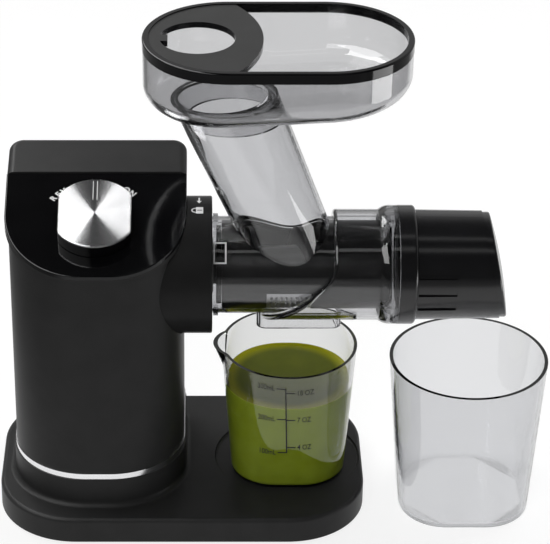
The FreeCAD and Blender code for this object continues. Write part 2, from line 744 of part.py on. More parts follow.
def trim_ring():
    """Bright ring between plinth and tower."""
    outer = prism(tower_wire(-TRIM_OVERHANG, PLINTH_TOP), TRIM_HEIGHT)
    inner = prism(tower_wire(TRIM_WIDTH - TRIM_OVERHANG - SCREW_CLEARANCE, PLINTH_TOP), TRIM_HEIGHT)
    return outer.cut(inner)


# Tower

def tower_shell():
    """Hollow D-shaped tower with a wider head that has a brow and the panel's slanted seat."""
    outer = prism(tower_wire(0, TOWER_BOTTOM), TOWER_TOP - TOWER_BOTTOM)
    behind = box(-TOWER_WIDTH, TOWER_WIDTH, PANEL_BACK_Y, TOWER_BACK * 2, HEAD_BACK_Z, TOWER_TOP * 2)
    head = head_prism(0).common(panel_wedge(HEAD_DEPTH).fuse(behind))
    outer = outer.fuse(head).removeSplitter().cut(brow_wedge(0))
    outer = outer.makeFillet(TOWER_EDGE_R, brow_edges(outer))
    outer = outer.cut(panel_wedge(PANEL_THICKNESS))
    inner = prism(tower_wire(TOWER_WALL, TOWER_BOTTOM), TOWER_TOP - TOWER_BOTTOM)
    inner = inner.cut(brow_wedge(TOWER_WALL))
    reach = TOWER_WIDTH
    depth = PANEL_RUN * 2
    roof = on_panel(box(-reach, reach, -depth, depth, -PANEL_THICKNESS - TOWER_WALL, reach))
    roof = roof.common(box(-reach, reach, -depth, PANEL_BACK_Y + TOWER_WALL, 0, TOWER_TOP * 2))
    shell = outer.cut(inner.cut(roof))
    for x, y in tower_boss_places():
        boss = upright(BOSS_R, TOWER_BOTTOM, TOWER_BOTTOM + BOSS_HEIGHT, x, y)
        shell = shell.fuse(boss.common(outer))
        hole_top = TOWER_BOTTOM + BOSS_HEIGHT - BOSS_ROOF
        shell = shell.cut(upright(SCREW_SHANK_R + SCREW_CLEARANCE, TOWER_BOTTOM, hole_top, x, y))
    for x, z in board_hole_places():
        start = Vector(x, TOWER_BACK - TOWER_WALL - BOARD_STANDOFF, z)
        length = BOARD_STANDOFF + TOWER_WALL / 2
        shell = shell.fuse(Part.makeCylinder(BOARD_STANDOFF_R, length, start, Y_AXIS))
    socket_hole = round_bar(SOCKET_R + LOOSE_CLEARANCE, 0, TOWER_WIDTH)
    shell = shell.cut(socket_hole.cut(under_panel(0)))
    for index in range(VENT_COUNT):
        z = TOWER_BOTTOM + VENT_RISE + index * VENT_PITCH
        half = VENT_LENGTH / 2
        shell = shell.cut(box(-half, half, TOWER_BACK / 2, TOWER_BACK * 2, z, z + VENT_HEIGHT))
    gland_start = Vector(GLAND_X, TOWER_BACK / 2, GLAND_Z)
    shell = shell.cut(Part.makeCylinder(GLAND_R + SCREW_CLEARANCE, TOWER_BACK, gland_start, Y_AXIS))
    drop = PANEL_THICKNESS + TOWER_WALL
    shell = shell.cut(on_panel(upright(SWITCH_BUSH_R + SCREW_CLEARANCE, -drop - OVERCUT, 0)))
    return shell.removeSplitter()


def panel_rim_edges(plate, behind):
    """The panel's upper edges along the front and the sides."""
    found = []
    for edge in plate.Edges:
        middle = edge.valueAt((edge.FirstParameter + edge.LastParameter) / 2)
        height = KNOB_Z + (middle.y - KNOB_Y) * math.tan(SLOPE)
        if abs(middle.z - height) < TOUCH and middle.y < behind - TOUCH:
            found.append(edge)
    return found


def control_panel():
    """Gloss plate on the slanted seat, with a pocket for the switch nut under the knob."""
    plate = head_prism(0).cut(panel_wedge(0))
    plate = plate.common(panel_wedge(PANEL_THICKNESS))
    behind = PANEL_BACK_Y - PANEL_SIDE_GAP
    plate = plate.cut(box(-TOWER_WIDTH, TOWER_WIDTH, behind, TOWER_BACK * 2, 0, TOWER_TOP * 2))
    plate = plate.makeFillet(PANEL_EDGE_R, panel_rim_edges(plate, behind))
    return plate.cut(on_panel(upright(NUT_POCKET_R, -PANEL_THICKNESS * 2, PANEL_THICKNESS)))


def cord_gland():
    """Flanged bush in the back wall."""
    start = TOWER_BACK - TOWER_WALL - GLAND_TAIL
    barrel = Part.makeCylinder(GLAND_R, TOWER_BACK - start, Vector(GLAND_X, start, GLAND_Z), Y_AXIS)
    wall_face = Vector(GLAND_X, TOWER_BACK, GLAND_Z)
    flange = Part.makeCone(GLAND_FLANGE_R, GLAND_R, GLAND_FLANGE, wall_face, Y_AXIS)
    bore = Part.makeCylinder(GLAND_BORE_R, TOWER_BACK, Vector(GLAND_X, start - OVERCUT, GLAND_Z), Y_AXIS)
    return barrel.fuse(flange).cut(bore)


def board_hole_places():
    """Centres of the board's four standoffs on the back wall."""
    places = []
    for x in (-BOARD_WIDTH / 2 + BOARD_HOLE_INSET, BOARD_WIDTH / 2 - BOARD_HOLE_INSET):
        for z in (BOARD_BOTTOM_Z + BOARD_HOLE_INSET, BOARD_BOTTOM_Z + BOARD_HEIGHT - BOARD_HOLE_INSET):
            places.append((x, z))
    return places


def control_board():
    """Board on the back wall with a rectifier block and two round capacitors."""
    back = TOWER_BACK - TOWER_WALL - BOARD_STANDOFF
    front = back - BOARD_THICKNESS
    half = BOARD_WIDTH / 2
    top = BOARD_BOTTOM_Z + BOARD_HEIGHT
    board = box(-half, half, front, back, BOARD_BOTTOM_Z, top)
    middle_z = (BOARD_BOTTOM_Z + top) / 2
    block_front = front - BOARD_BLOCK_HEIGHT
    board = board.fuse(box(-BOARD_BLOCK_WIDTH, 0, block_front, front, middle_z, middle_z + BOARD_BLOCK_WIDTH))
    for x in (CAPACITOR_PITCH, 2 * CAPACITOR_PITCH):
        start = Vector(x, front, middle_z)
        board = board.fuse(Part.makeCylinder(CAPACITOR_R, BOARD_BLOCK_HEIGHT, start, -Y_AXIS))
    return board.removeSplitter()


# Drum socket and gearbox

def socket_screw_places():
    places = []
    for index in range(SOCKET_SCREW_COUNT):
        angle = math.radians(SOCKET_SCREW_FIRST_ANGLE + index * 360 / SOCKET_SCREW_COUNT)
        y = SOCKET_SCREW_PITCH_R * math.cos(angle)
        places.append((y, DRIVE_Z + SOCKET_SCREW_PITCH_R * math.sin(angle)))
    return places


def under_panel(gap):
    """The part of the head's plan that the panel and its deck take up, with a gap below them."""
    return head_prism(LOOSE_CLEARANCE).common(panel_wedge(HEAD_DEPTH + gap))


def drum_socket():
    """Round collar that takes the drum's lugs, bolted to the gearbox."""
    back = PLATE_FRONT_X
    collar = round_bar(SOCKET_R, back, SOCKET_FACE_X)
    collar = collar.makeFillet(SOCKET_EDGE_R, edges_at_x(collar, SOCKET_FACE_X, SOCKET_R))
    collar = collar.cut(under_panel(LOOSE_CLEARANCE))
    floor_x = SOCKET_FLOOR_X
    collar = collar.cut(round_bar(DRUM_R + LOOSE_CLEARANCE, floor_x, SOCKET_FACE_X + OVERCUT))
    collar = collar.cut(round_bar(SEAL_SEAT_R, floor_x - SEAL_SEAT_DEPTH, floor_x))
    collar = collar.cut(round_bar(DRIVE_SHAFT_R + SHAFT_ROOM, back, floor_x))
    bush_end = back + BUSH_FLANGE
    collar = collar.cut(round_bar(BUSH_FLANGE_R + LOOSE_CLEARANCE, back, bush_end + LOOSE_CLEARANCE))
    pocket = sleeve(SOCKET_POCKET_OUTER_R, SOCKET_POCKET_INNER_R, back, back + SOCKET_POCKET_DEPTH)
    collar = collar.cut(pocket)
    groove_r = DRUM_R + LUG_RISE + LUG_GAP
    inside = DRUM_R - DRUM_WALL
    lug_end = LUG_BACK_X + LUG_WIDTH
    for index in range(LUG_COUNT):
        angle = LUG_FIRST_ANGLE + index * 360 / LUG_COUNT
        sweep = LUG_SPAN + UNLOCK_ANGLE + 2 * LUG_GAP_ANGLE
        middle = angle - UNLOCK_ANGLE / 2
        groove = ring_sector(inside, groove_r, LUG_BACK_X - LUG_GAP, lug_end + LUG_GAP, middle, sweep)
        entry_span = LUG_SPAN + 2 * LUG_GAP_ANGLE
        mouth_x = SOCKET_FACE_X + OVERCUT
        entry = ring_sector(inside, groove_r, LUG_BACK_X, mouth_x, angle - UNLOCK_ANGLE, entry_span)
        collar = collar.cut(groove.fuse(entry))
    for y, z in socket_screw_places():
        hole_r = SCREW_SHANK_R + SCREW_CLEARANCE
        collar = collar.cut(round_bar(hole_r, back, back + SOCKET_SCREW_LENGTH, z, y))
    return collar.removeSplitter()


def spacer_places():
    places = []
    for y in (-SPACER_Y, SPACER_Y):
        for z in (PLINTH_TOP + SPACER_LOW, DRIVE_Z - SPACER_DROP):
            places.append((y, z))
    return places


def gearbox_plate(x0, foot_x0):
    """Upright plate with rounded top corners and a foot that stands on the plinth."""
    foot_x1 = foot_x0 + PLATE_THICKNESS + PLATE_FOOT_LENGTH
    half = PLATE_HALF_DEPTH
    sheet = box(x0, x0 + PLATE_THICKNESS, -half, half, PLINTH_TOP, PLATE_TOP_Z)
    corner_edges = []
    for edge in sheet.Edges:
        bounds = edge.BoundBox
        along_x = bounds.XLength > PLATE_THICKNESS / 2
        if along_x and bounds.ZMin > (PLINTH_TOP + PLATE_TOP_Z) / 2:
            corner_edges.append(edge)
    sheet = sheet.makeFillet(PLATE_CORNER_R, corner_edges)
    foot = box(foot_x0, foot_x1, -half, half, PLINTH_TOP, PLINTH_TOP + PLATE_FOOT_THICKNESS)
    plate = sheet.fuse(foot)
    foot_top = PLINTH_TOP + PLATE_FOOT_THICKNESS
    for x, y in plate_foot_places():
        plate = plate.cut(upright(SCREW_SHANK_R + SCREW_CLEARANCE, PLINTH_TOP, foot_top, x, y))
    plate = plate.cut(round_bar(DRIVE_SHAFT_R + BUSH_WALL, x0, x0 + PLATE_THICKNESS))
    plate = plate.cut(round_bar(IDLER_PIN_R, x0, x0 + PLATE_THICKNESS, IDLER_Z))
    return plate


def gearbox_back_plate():
    """Plate that carries the motor."""
    plate = gearbox_plate(PLATE_BACK_X, PLATE_BACK_X)
    end = PLATE_BACK_X + PLATE_THICKNESS
    plate = plate.cut(round_bar(MOTOR_NOSE_R + LOOSE_CLEARANCE, PLATE_BACK_X, end, MOTOR_Z))
    for y, z in motor_screw_places():
        plate = plate.cut(round_bar(SCREW_SHANK_R + SCREW_CLEARANCE, PLATE_BACK_X, end, z, y))
    return plate.removeSplitter()


def gearbox_front_plate():
    """Plate that carries the drum socket."""
    x0 = PLATE_FRONT_X - PLATE_THICKNESS
    plate = gearbox_plate(x0, x0 - PLATE_FOOT_LENGTH)
    for y, z in socket_screw_places():
        plate = plate.cut(round_bar(SCREW_SHANK_R + SCREW_CLEARANCE, x0, PLATE_FRONT_X, z, y))
    return plate.removeSplitter()


def gearbox_spacers():
    start = PLATE_BACK_X + PLATE_THICKNESS
    end = PLATE_FRONT_X - PLATE_THICKNESS
    return Part.makeCompound([round_bar(SPACER_R, start, end, z, y) for y, z in spacer_places()])


def socket_screws():
    x = PLATE_FRONT_X - PLATE_THICKNESS
    length = PLATE_THICKNESS + SOCKET_SCREW_LENGTH - OVERCUT
    return Part.makeCompound([screw_right(x, y, z, length) for y, z in socket_screw_places()])


def drive_bush(x0, flange_x0):
    """Flanged plain bearing of the drive shaft in a gearbox plate."""
    outer = round_bar(DRIVE_SHAFT_R + BUSH_WALL, x0, x0 + PLATE_THICKNESS)
    flange = round_bar(BUSH_FLANGE_R, flange_x0, flange_x0 + BUSH_FLANGE)
    bore = round_bar(DRIVE_SHAFT_R + RUN_CLEARANCE, x0 - BUSH_FLANGE, x0 + PLATE_THICKNESS + BUSH_FLANGE)
    return outer.fuse(flange).cut(bore).removeSplitter()


def shaft_seal():
    """Lip seal that keeps juice out of the gearbox."""
    end = SOCKET_FLOOR_X
    start = end - SEAL_SEAT_DEPTH
    body = sleeve(SEAL_SEAT_R, DRIVE_SHAFT_R + SHAFT_ROOM, start, end)
    lip = sleeve(DRIVE_SHAFT_R + SHAFT_ROOM, DRIVE_SHAFT_R + RUN_CLEARANCE, start, start + SEAL_LIP)
    return body.fuse(lip).removeSplitter()


# Gears and motor

def gear_outline(teeth, module, z, y, x, phase):
    """Outline of a spur gear in a plane across X, its flanks following the involute."""
    pitch_r = teeth * module / 2
    base_r = pitch_r * math.cos(math.radians(PRESSURE_ANGLE))
    tip_r = pitch_r + GEAR_ADDENDUM * module
    root_r = pitch_r - GEAR_DEDENDUM * module
    half_pitch = math.pi / teeth / 2 - GEAR_BACKLASH / 2 / pitch_r
    pressure = math.radians(PRESSURE_ANGLE)
    half_base = half_pitch + math.tan(pressure) - pressure
    first_r = max(base_r, root_r)
    points = []
    for tooth in range(teeth):
        centre = phase + 2 * math.pi * tooth / teeth
        flank = []
        for step in range(FLANK_POINTS):
            radius = first_r + (tip_r - first_r) * step / (FLANK_POINTS - 1)
            roll = math.sqrt(max((radius / base_r) ** 2 - 1, 0))
            half = half_base - (roll - math.atan(roll))
            flank.append((radius, half))
        if base_r > root_r:
            flank.insert(0, (root_r, half_base))
        for radius, half in flank:
            points.append((radius, centre - half))
        for radius, half in reversed(flank):
            points.append((radius, centre + half))
    corners = [Vector(x, y + r * math.cos(a), z + r * math.sin(a)) for r, a in points]
    return Part.Face(Part.makePolygon(corners + corners[:1]))


def gear(teeth, module, x0, width, z, phase):
    return gear_outline(teeth, module, z, 0.0, x0, phase).extrude(Vector(width, 0, 0))


def stage_one_x():
    return PLATE_BACK_X + PLATE_THICKNESS + GEAR_SIDE_GAP


def stage_two_x():
    return stage_one_x() + STAGE_ONE_WIDTH + GEAR_SIDE_GAP


def tooth_up():
    """Turn that puts a tooth of the lower gear straight up."""
    return math.pi / 2


def gap_down(teeth):
    """Turn that puts a gap of the upper gear straight down."""
    return -math.pi / 2 + math.pi / teeth


def output_gear():
    """Large gear on the drive shaft, with a ring of lightening holes."""
    x0 = stage_two_x()
    wheel = gear(STAGE_TWO_GEAR, STAGE_TWO_MODULE, x0, STAGE_TWO_WIDTH, DRIVE_Z, gap_down(STAGE_TWO_GEAR))
    wheel = wheel.cut(round_bar(DRIVE_SHAFT_R, x0, x0 + STAGE_TWO_WIDTH))
    for index in range(GEAR_HOLE_COUNT):
        angle = 2 * math.pi * index / GEAR_HOLE_COUNT
        y = GEAR_HOLE_PITCH_R * math.cos(angle)
        z = DRIVE_Z + GEAR_HOLE_PITCH_R * math.sin(angle)
        wheel = wheel.cut(round_bar(GEAR_HOLE_R, x0, x0 + STAGE_TWO_WIDTH, z, y))
    return wheel


def idler_gear():
    """Compound gear: the wheel turned by the motor and the pinion that turns the output gear."""
    x0 = stage_one_x()
    wheel = gear(STAGE_ONE_GEAR, STAGE_ONE_MODULE, x0, STAGE_ONE_WIDTH, IDLER_Z, gap_down(STAGE_ONE_GEAR))
    length = GEAR_SIDE_GAP + STAGE_TWO_WIDTH
    pinion = gear(STAGE_TWO_PINION, STAGE_TWO_MODULE, x0 + STAGE_ONE_WIDTH, length, IDLER_Z, tooth_up())
    bore = round_bar(IDLER_PIN_R + RUN_CLEARANCE, x0, x0 + STAGE_ONE_WIDTH + length, IDLER_Z)
    return wheel.fuse(pinion).cut(bore).removeSplitter()


def idler_pin():
    return round_bar(IDLER_PIN_R, PLATE_BACK_X, PLATE_FRONT_X, IDLER_Z)


def motor_pinion():
    x0 = stage_one_x()
    wheel = gear(STAGE_ONE_PINION, STAGE_ONE_MODULE, x0, STAGE_ONE_WIDTH, MOTOR_Z, tooth_up())
    return wheel.cut(round_bar(MOTOR_SHAFT_R, x0, x0 + STAGE_ONE_WIDTH, MOTOR_Z))


def motor_shaft():
    start = PLATE_BACK_X - MOTOR_BORE_DEPTH + OVERCUT
    return round_bar(MOTOR_SHAFT_R, start, stage_one_x() + STAGE_ONE_WIDTH, MOTOR_Z)


def motor_screw_places():
    return [(-MOTOR_SCREW_PITCH_R, MOTOR_Z), (MOTOR_SCREW_PITCH_R, MOTOR_Z)]


def motor():
    """Sealed motor can with a nose that centres it in the back plate."""
    start = PLATE_BACK_X - MOTOR_LENGTH
    can = round_bar(MOTOR_R, start, PLATE_BACK_X, MOTOR_Z)
    ends = []
    for edge in can.Edges:
        if abs(edge.BoundBox.XLength) < TOUCH:
            ends.append(edge)
    can = can.makeFillet(MOTOR_EDGE_R, ends)
    can = can.fuse(round_bar(MOTOR_NOSE_R, PLATE_BACK_X - OVERCUT, PLATE_BACK_X + PLATE_THICKNESS, MOTOR_Z))
    end = PLATE_BACK_X + PLATE_THICKNESS
    can = can.cut(round_bar(MOTOR_SHAFT_R + RUN_CLEARANCE, PLATE_BACK_X - MOTOR_BORE_DEPTH, end, MOTOR_Z))
    for y, z in motor_screw_places():
        hole_x = PLATE_BACK_X - SCREW_LENGTH
        can = can.cut(round_bar(SCREW_SHANK_R + SCREW_CLEARANCE, hole_x, PLATE_BACK_X, z, y))
    return can.removeSplitter()


def motor_screws():
    """Two screws through the back plate into the motor, heads on the gear side."""
    screws = []
    for y, z in motor_screw_places():
        screw = screw_right(0, y, z, PLATE_THICKNESS + SCREW_LENGTH - OVERCUT)
        screw.rotate(Vector(0, y, z), Z_AXIS, 180)
        screw.translate(Vector(PLATE_BACK_X + PLATE_THICKNESS, 0, 0))
        screws.append(screw)
    return Part.makeCompound(screws)


def drive_shaft():
    """Steel shaft with a hexagon end that turns the auger."""
    hex_end = SOCKET_FLOOR_X + HEX_LENGTH
    round_part = round_bar(DRIVE_SHAFT_R, PLATE_BACK_X, SOCKET_FLOOR_X)
    return round_part.fuse(hex_bar(HEX_FLATS, SOCKET_FLOOR_X, hex_end))


def hex_bar(flats, x0, x1):
    corner = flats / math.sqrt(3)
    points = []
    for index in range(6):
        angle = math.radians(60 * index)
        points.append(Vector(x0, corner * math.cos(angle), DRIVE_Z + corner * math.sin(angle)))
    return Part.Face(Part.makePolygon(points + points[:1])).extrude(Vector(x1 - x0, 0, 0))


# Knob and switch

def knob_outline(inset, z0, z1):
    """Disc with two flats and softened corners, on a level panel."""
    disc = upright(KNOB_R - inset, z0, z1)
    half = KNOB_FLATS / 2 - inset
    blank = disc.common(box(-half, half, -KNOB_R, KNOB_R, z0, z1))
    corner_edges = []
    for edge in blank.Edges:
        if edge.BoundBox.ZLength > (z1 - z0) / 2:
            corner_edges.append(edge)
    return blank.makeFillet(KNOB_CORNER_R, corner_edges)


def knob_body():
    """Hollow knob with a boss that grips the switch spindle."""
    top = KNOB_HEIGHT - KNOB_FACE
    body = knob_outline(0, KNOB_GAP, top)
    hollow = knob_outline(KNOB_WALL, KNOB_GAP - OVERCUT, top - KNOB_WALL)
    body = body.cut(hollow)
    body = body.fuse(upright(KNOB_BOSS_R, SWITCH_NUT_HEIGHT + OVERCUT, top - KNOB_WALL / 2))
    body = body.cut(upright(SPINDLE_R, 0, top - KNOB_WALL / 2))
    return on_panel(body.removeSplitter())


def knob_face():
    """Metal face with a bevelled rim and a pointer groove."""
    top = KNOB_HEIGHT
    face = knob_outline(0, top - KNOB_FACE, top)
    rim = edges_at_height(face, top)
    face = face.makeChamfer(KNOB_FACE_EDGE, rim)
    half = POINTER_WIDTH / 2
    groove = box(-half, half, KNOB_R - POINTER_LENGTH, KNOB_R + OVERCUT, top - POINTER_DEPTH, top + OVERCUT)
    return on_panel(face.cut(groove))


def switch_spindle():
    top = KNOB_HEIGHT - KNOB_FACE - KNOB_WALL / 2
    return on_panel(upright(SPINDLE_R, -PANEL_THICKNESS - TOWER_WALL - SPINDLE_GRIP, top))


def rotary_switch():
    """Switch body under the deck with a threaded bush through it."""
    deck = -PANEL_THICKNESS - TOWER_WALL
    half = SWITCH_SIDE / 2
    body = box(-half, half, -half, half, deck - SWITCH_DEPTH, deck)
    body = body.fuse(upright(SWITCH_BUSH_R, deck, SWITCH_NUT_HEIGHT - PANEL_THICKNESS))
    bore = upright(SPINDLE_R + RUN_CLEARANCE, deck - SPINDLE_GRIP, KNOB_HEIGHT)
    width = TERMINAL_WIDTH / 2
    thick = TERMINAL_THICKNESS / 2
    foot = deck - SWITCH_DEPTH
    for x in (-TERMINAL_PITCH, 0, TERMINAL_PITCH):
        body = body.fuse(box(x - width, x + width, -thick, thick, foot - TERMINAL_LENGTH, foot))
    return on_panel(body.cut(bore).removeSplitter())


def switch_nut():
    """Hexagon nut that holds the switch on the deck, in the panel's pocket."""
    points = []
    for index in range(6):
        angle = math.radians(60 * index)
        x = SWITCH_NUT_R * math.cos(angle)
        y = SWITCH_NUT_R * math.sin(angle)
        points.append(Vector(x, y, -PANEL_THICKNESS))
    blank = Part.Face(Part.makePolygon(points + points[:1])).extrude(Vector(0, 0, SWITCH_NUT_HEIGHT))
    return on_panel(blank.cut(upright(SWITCH_BUSH_R, -PANEL_THICKNESS, SWITCH_NUT_HEIGHT)))


# Drum, strainer and auger

def step_region(inset):
    """Block on the wide side of the drum's stepped edge, moved inwards by an inset."""
    reach = DRUM_FLANGE_R * 2
    y = -reach
    start = DRUM_FRONT_X + inset
    half = DRUM_BIG_R / 2
    top = Vector(start - STEP_TOP_BACK, y, DRIVE_Z + reach)
    upper = Vector(start - STEP_TOP_BACK, y, DRIVE_Z + half)
    middle = Vector(start - STEP_MIDDLE_BACK, y, DRIVE_Z)
    lower = Vector(start - STEP_LOWER_BACK, y, DRIVE_Z - half)
    bottom = Vector(start - STEP_BOTTOM_BACK, y, DRIVE_Z - DRUM_BIG_R)
    curve = Part.BSplineCurve()
    end_run = Vector(-1, 0, -STEP_END_SLOPE)
    curve.interpolate([upper, middle, lower, bottom], InitialTangent=-Z_AXIS, FinalTangent=end_run)
    under = Vector(start - STEP_BOTTOM_BACK, y, DRIVE_Z - reach)
    far_low = Vector(DRUM_FRONT_X, y, DRIVE_Z - reach)
    far_high = Vector(DRUM_FRONT_X, y, DRIVE_Z + reach)
    edges = [Part.makeLine(top, upper), curve.toShape(), Part.makeLine(bottom, under)]
    edges += [Part.makeLine(under, far_low), Part.makeLine(far_low, far_high), Part.makeLine(far_high, top)]
    return Part.Face(Part.Wire(edges)).extrude(Vector(0, reach * 2, 0))


def step_edges(shape):
    """The edges of the drum's wide end that lie along its step."""
    return [edge for edge in shape.Edges if edge.BoundBox.XMax < DRUM_FRONT_X - STEP_EDGE_R]


def feed_cone(shrink):
    """Slanted cone of the feed chute with its radius reduced by a shrink, longer than the chute."""
    start = Vector(FEED_FOOT_X, 0, DRIVE_Z)
    growth = (FEED_TOP_R - FEED_FOOT_R) / FEED_LENGTH
    length = FEED_LENGTH * 2
    end_r = FEED_FOOT_R + growth * length - shrink
    return Part.makeCone(FEED_FOOT_R - shrink, end_r, length, start, FEED_DIRECTION)


def spout_wire(inset, z):
    half_x = SPOUT_LENGTH / 2 - inset
    half_y = SPOUT_DEPTH / 2 - inset
    radius = SPOUT_CORNER_R - inset
    return rectangle_wire(SPOUT_CENTRE_X - half_x, SPOUT_CENTRE_X + half_x, -half_y, half_y, radius, z)


def juicing_drum():
    """Clear drum with feed chute, juice spout, front flange, end spigot and the lugs that lock it."""
    reach = FEED_LENGTH * 2
    below = box(FEED_FOOT_X - reach, FEED_FOOT_X + reach, -reach, reach, DRIVE_Z, FEED_TOP_Z)
    outer = round_bar(DRUM_R, DRUM_BACK_X, DRUM_FRONT_X)
    wide_end = round_bar(DRUM_BIG_R, DRUM_BACK_X, DRUM_FRONT_X).common(step_region(0))
    outer = outer.fuse(wide_end.makeFillet(STEP_EDGE_R, step_edges(wide_end)))
    outer = outer.fuse(feed_cone(0).common(below))
    flange_x = DRUM_FRONT_X - DRUM_FLANGE_LENGTH
    flange = round_bar(DRUM_FLANGE_R, flange_x, DRUM_FRONT_X)
    flange = flange.makeFillet(DRUM_FLANGE_EDGE_R, edges_at_x(flange, flange_x, DRUM_FLANGE_R))
    outer = outer.fuse(flange)
    outer = outer.fuse(round_bar(DRUM_SPIGOT_R, DRUM_FRONT_X, DRUM_FRONT_X + DRUM_SPIGOT_LENGTH))
    outer = outer.fuse(prism(spout_wire(0, SPOUT_BOTTOM_Z), DRIVE_Z - SPOUT_BOTTOM_Z))
    collar_x = SOCKET_FACE_X + DRUM_COLLAR_GAP
    outer = outer.fuse(round_bar(DRUM_COLLAR_R, collar_x, collar_x + DRUM_COLLAR_LENGTH))
    block_r = DRUM_R + STOP_BLOCK_RISE
    inner_r = DRUM_R - DRUM_WALL / 2
    block_end = collar_x + STOP_BLOCK_LENGTH
    outer = outer.fuse(ring_sector(inner_r, block_r, collar_x, block_end, STOP_BLOCK_ANGLE, STOP_BLOCK_SPAN))
    lug_r = DRUM_R + LUG_RISE
    cap_lug_r = DRUM_SPIGOT_R + CAP_LUG_RISE
    cap_lug_end = DRUM_FRONT_X + DRUM_SPIGOT_LENGTH
    cap_lug_x = cap_lug_end - CAP_LUG_WIDTH
    spigot_inner = DRUM_SPIGOT_R - DRUM_WALL / 2
    for index in range(LUG_COUNT):
        angle = LUG_FIRST_ANGLE + index * 360 / LUG_COUNT
        outer = outer.fuse(ring_sector(inner_r, lug_r, LUG_BACK_X, LUG_BACK_X + LUG_WIDTH, angle, LUG_SPAN))
        outer = outer.fuse(ring_sector(spigot_inner, cap_lug_r, cap_lug_x, cap_lug_end, angle, CAP_LUG_SPAN))
    bore = DRUM_R - DRUM_WALL
    inner = round_bar(bore, DRUM_BACK_WALL_X + DRUM_BACK_WALL, DRUM_FRONT_X + DRUM_SPIGOT_LENGTH)
    inner = inner.fuse(round_bar(bore, DRUM_BACK_X, DRUM_BACK_WALL_X))
    inner = inner.fuse(round_bar(AUGER_HUB_R + DRUM_SEAL_LIP + DRUM_SEAL_WALL, DRUM_BACK_X, DRUM_FRONT_X))
    wide = round_bar(DRUM_BIG_R - DRUM_WALL, DRUM_BACK_X, DRUM_FRONT_X - DRUM_WALL)
    inner = inner.fuse(wide.common(step_region(DRUM_WALL)))
    inner = inner.fuse(feed_cone(FEED_WALL))
    inner = inner.fuse(prism(spout_wire(SPOUT_WALL, SPOUT_BOTTOM_Z - OVERCUT), DRIVE_Z - SPOUT_BOTTOM_Z))
    return outer.cut(inner).cut(cap_seal_groove()).removeSplitter()


def drum_seal():
    """Soft ring in the drum's back wall round the auger's hub."""
    wall_end = DRUM_BACK_WALL_X + DRUM_BACK_WALL
    outer_r = AUGER_HUB_R + DRUM_SEAL_LIP + DRUM_SEAL_WALL
    body = round_bar(outer_r, DRUM_BACK_WALL_X, wall_end)
    body = body.fuse(round_bar(DRUM_SEAL_FLANGE_R, wall_end, wall_end + DRUM_SEAL_FLANGE))
    hole_end = wall_end + DRUM_SEAL_FLANGE + OVERCUT
    hole = round_bar(AUGER_HUB_R + DRUM_SEAL_LIP, DRUM_BACK_WALL_X - OVERCUT, hole_end)
    return body.cut(hole).removeSplitter()


def strainer_window(inner, outer):
    """The window in the strainer's underside between two radii."""
    end = STRAINER_WINDOW_X + STRAINER_WINDOW_LENGTH
    return ring_sector(inner, outer, STRAINER_WINDOW_X, end, -90.0, STRAINER_WINDOW_SPAN)


def strainer_frame():
    """Tube round the auger: open under the chute, windowed below, with a spoked nose bearing."""
    tube = sleeve(STRAINER_R, STRAINER_BORE, STRAINER_BACK_X, STRAINER_FRONT_X)
    tube = tube.cut(feed_cone(FEED_WALL))
    tube = tube.cut(strainer_window(STRAINER_BORE - OVERCUT, STRAINER_R + OVERCUT))
    nose_x = STRAINER_FRONT_X - STRAINER_WALL
    hub = round_bar(STRAINER_HUB_R, nose_x, STRAINER_FRONT_X)
    for index in range(STRAINER_SPOKE_COUNT):
        half = STRAINER_SPOKE_WIDTH / 2
        spoke = box(nose_x, STRAINER_FRONT_X, 0, STRAINER_BORE + STRAINER_WALL / 2, -half, half)
        spoke.rotate(Vector(0, 0, 0), X_AXIS, STRAINER_SPOKE_FIRST_ANGLE + index * 360 / STRAINER_SPOKE_COUNT)
        spoke.translate(Vector(0, 0, DRIVE_Z))
        hub = hub.fuse(spoke)
    tube = tube.fuse(hub)
    return tube.cut(round_bar(AUGER_PIN_R + RUN_CLEARANCE * 2, nose_x, STRAINER_FRONT_X)).removeSplitter()


def strainer_mesh():
    """Thin steel sheet with rows of slots, filling the strainer's window."""
    outer = STRAINER_R - MESH_INSET
    sheet = strainer_window(outer - MESH_THICKNESS, outer)
    rows = int((STRAINER_WINDOW_SPAN - MESH_ROW_ANGLE) / MESH_ROW_ANGLE)
    columns = int((STRAINER_WINDOW_LENGTH - MESH_SLOT_PITCH) / MESH_SLOT_PITCH)
    slots = []
    for row in range(rows):
        angle = -90 + (row - (rows - 1) / 2) * MESH_ROW_ANGLE
        for column in range(columns):
            middle = STRAINER_MIDDLE_X + (column - (columns - 1) / 2) * MESH_SLOT_PITCH
            half = MESH_SLOT_LENGTH / 2
            span = MESH_ROW_ANGLE - MESH_ROW_GAP
            floor_r = outer - MESH_THICKNESS - OVERCUT
            slots.append(ring_sector(floor_r, outer + OVERCUT, middle - half, middle + half, angle, span))
    return sheet.cut(Part.makeCompound(slots))


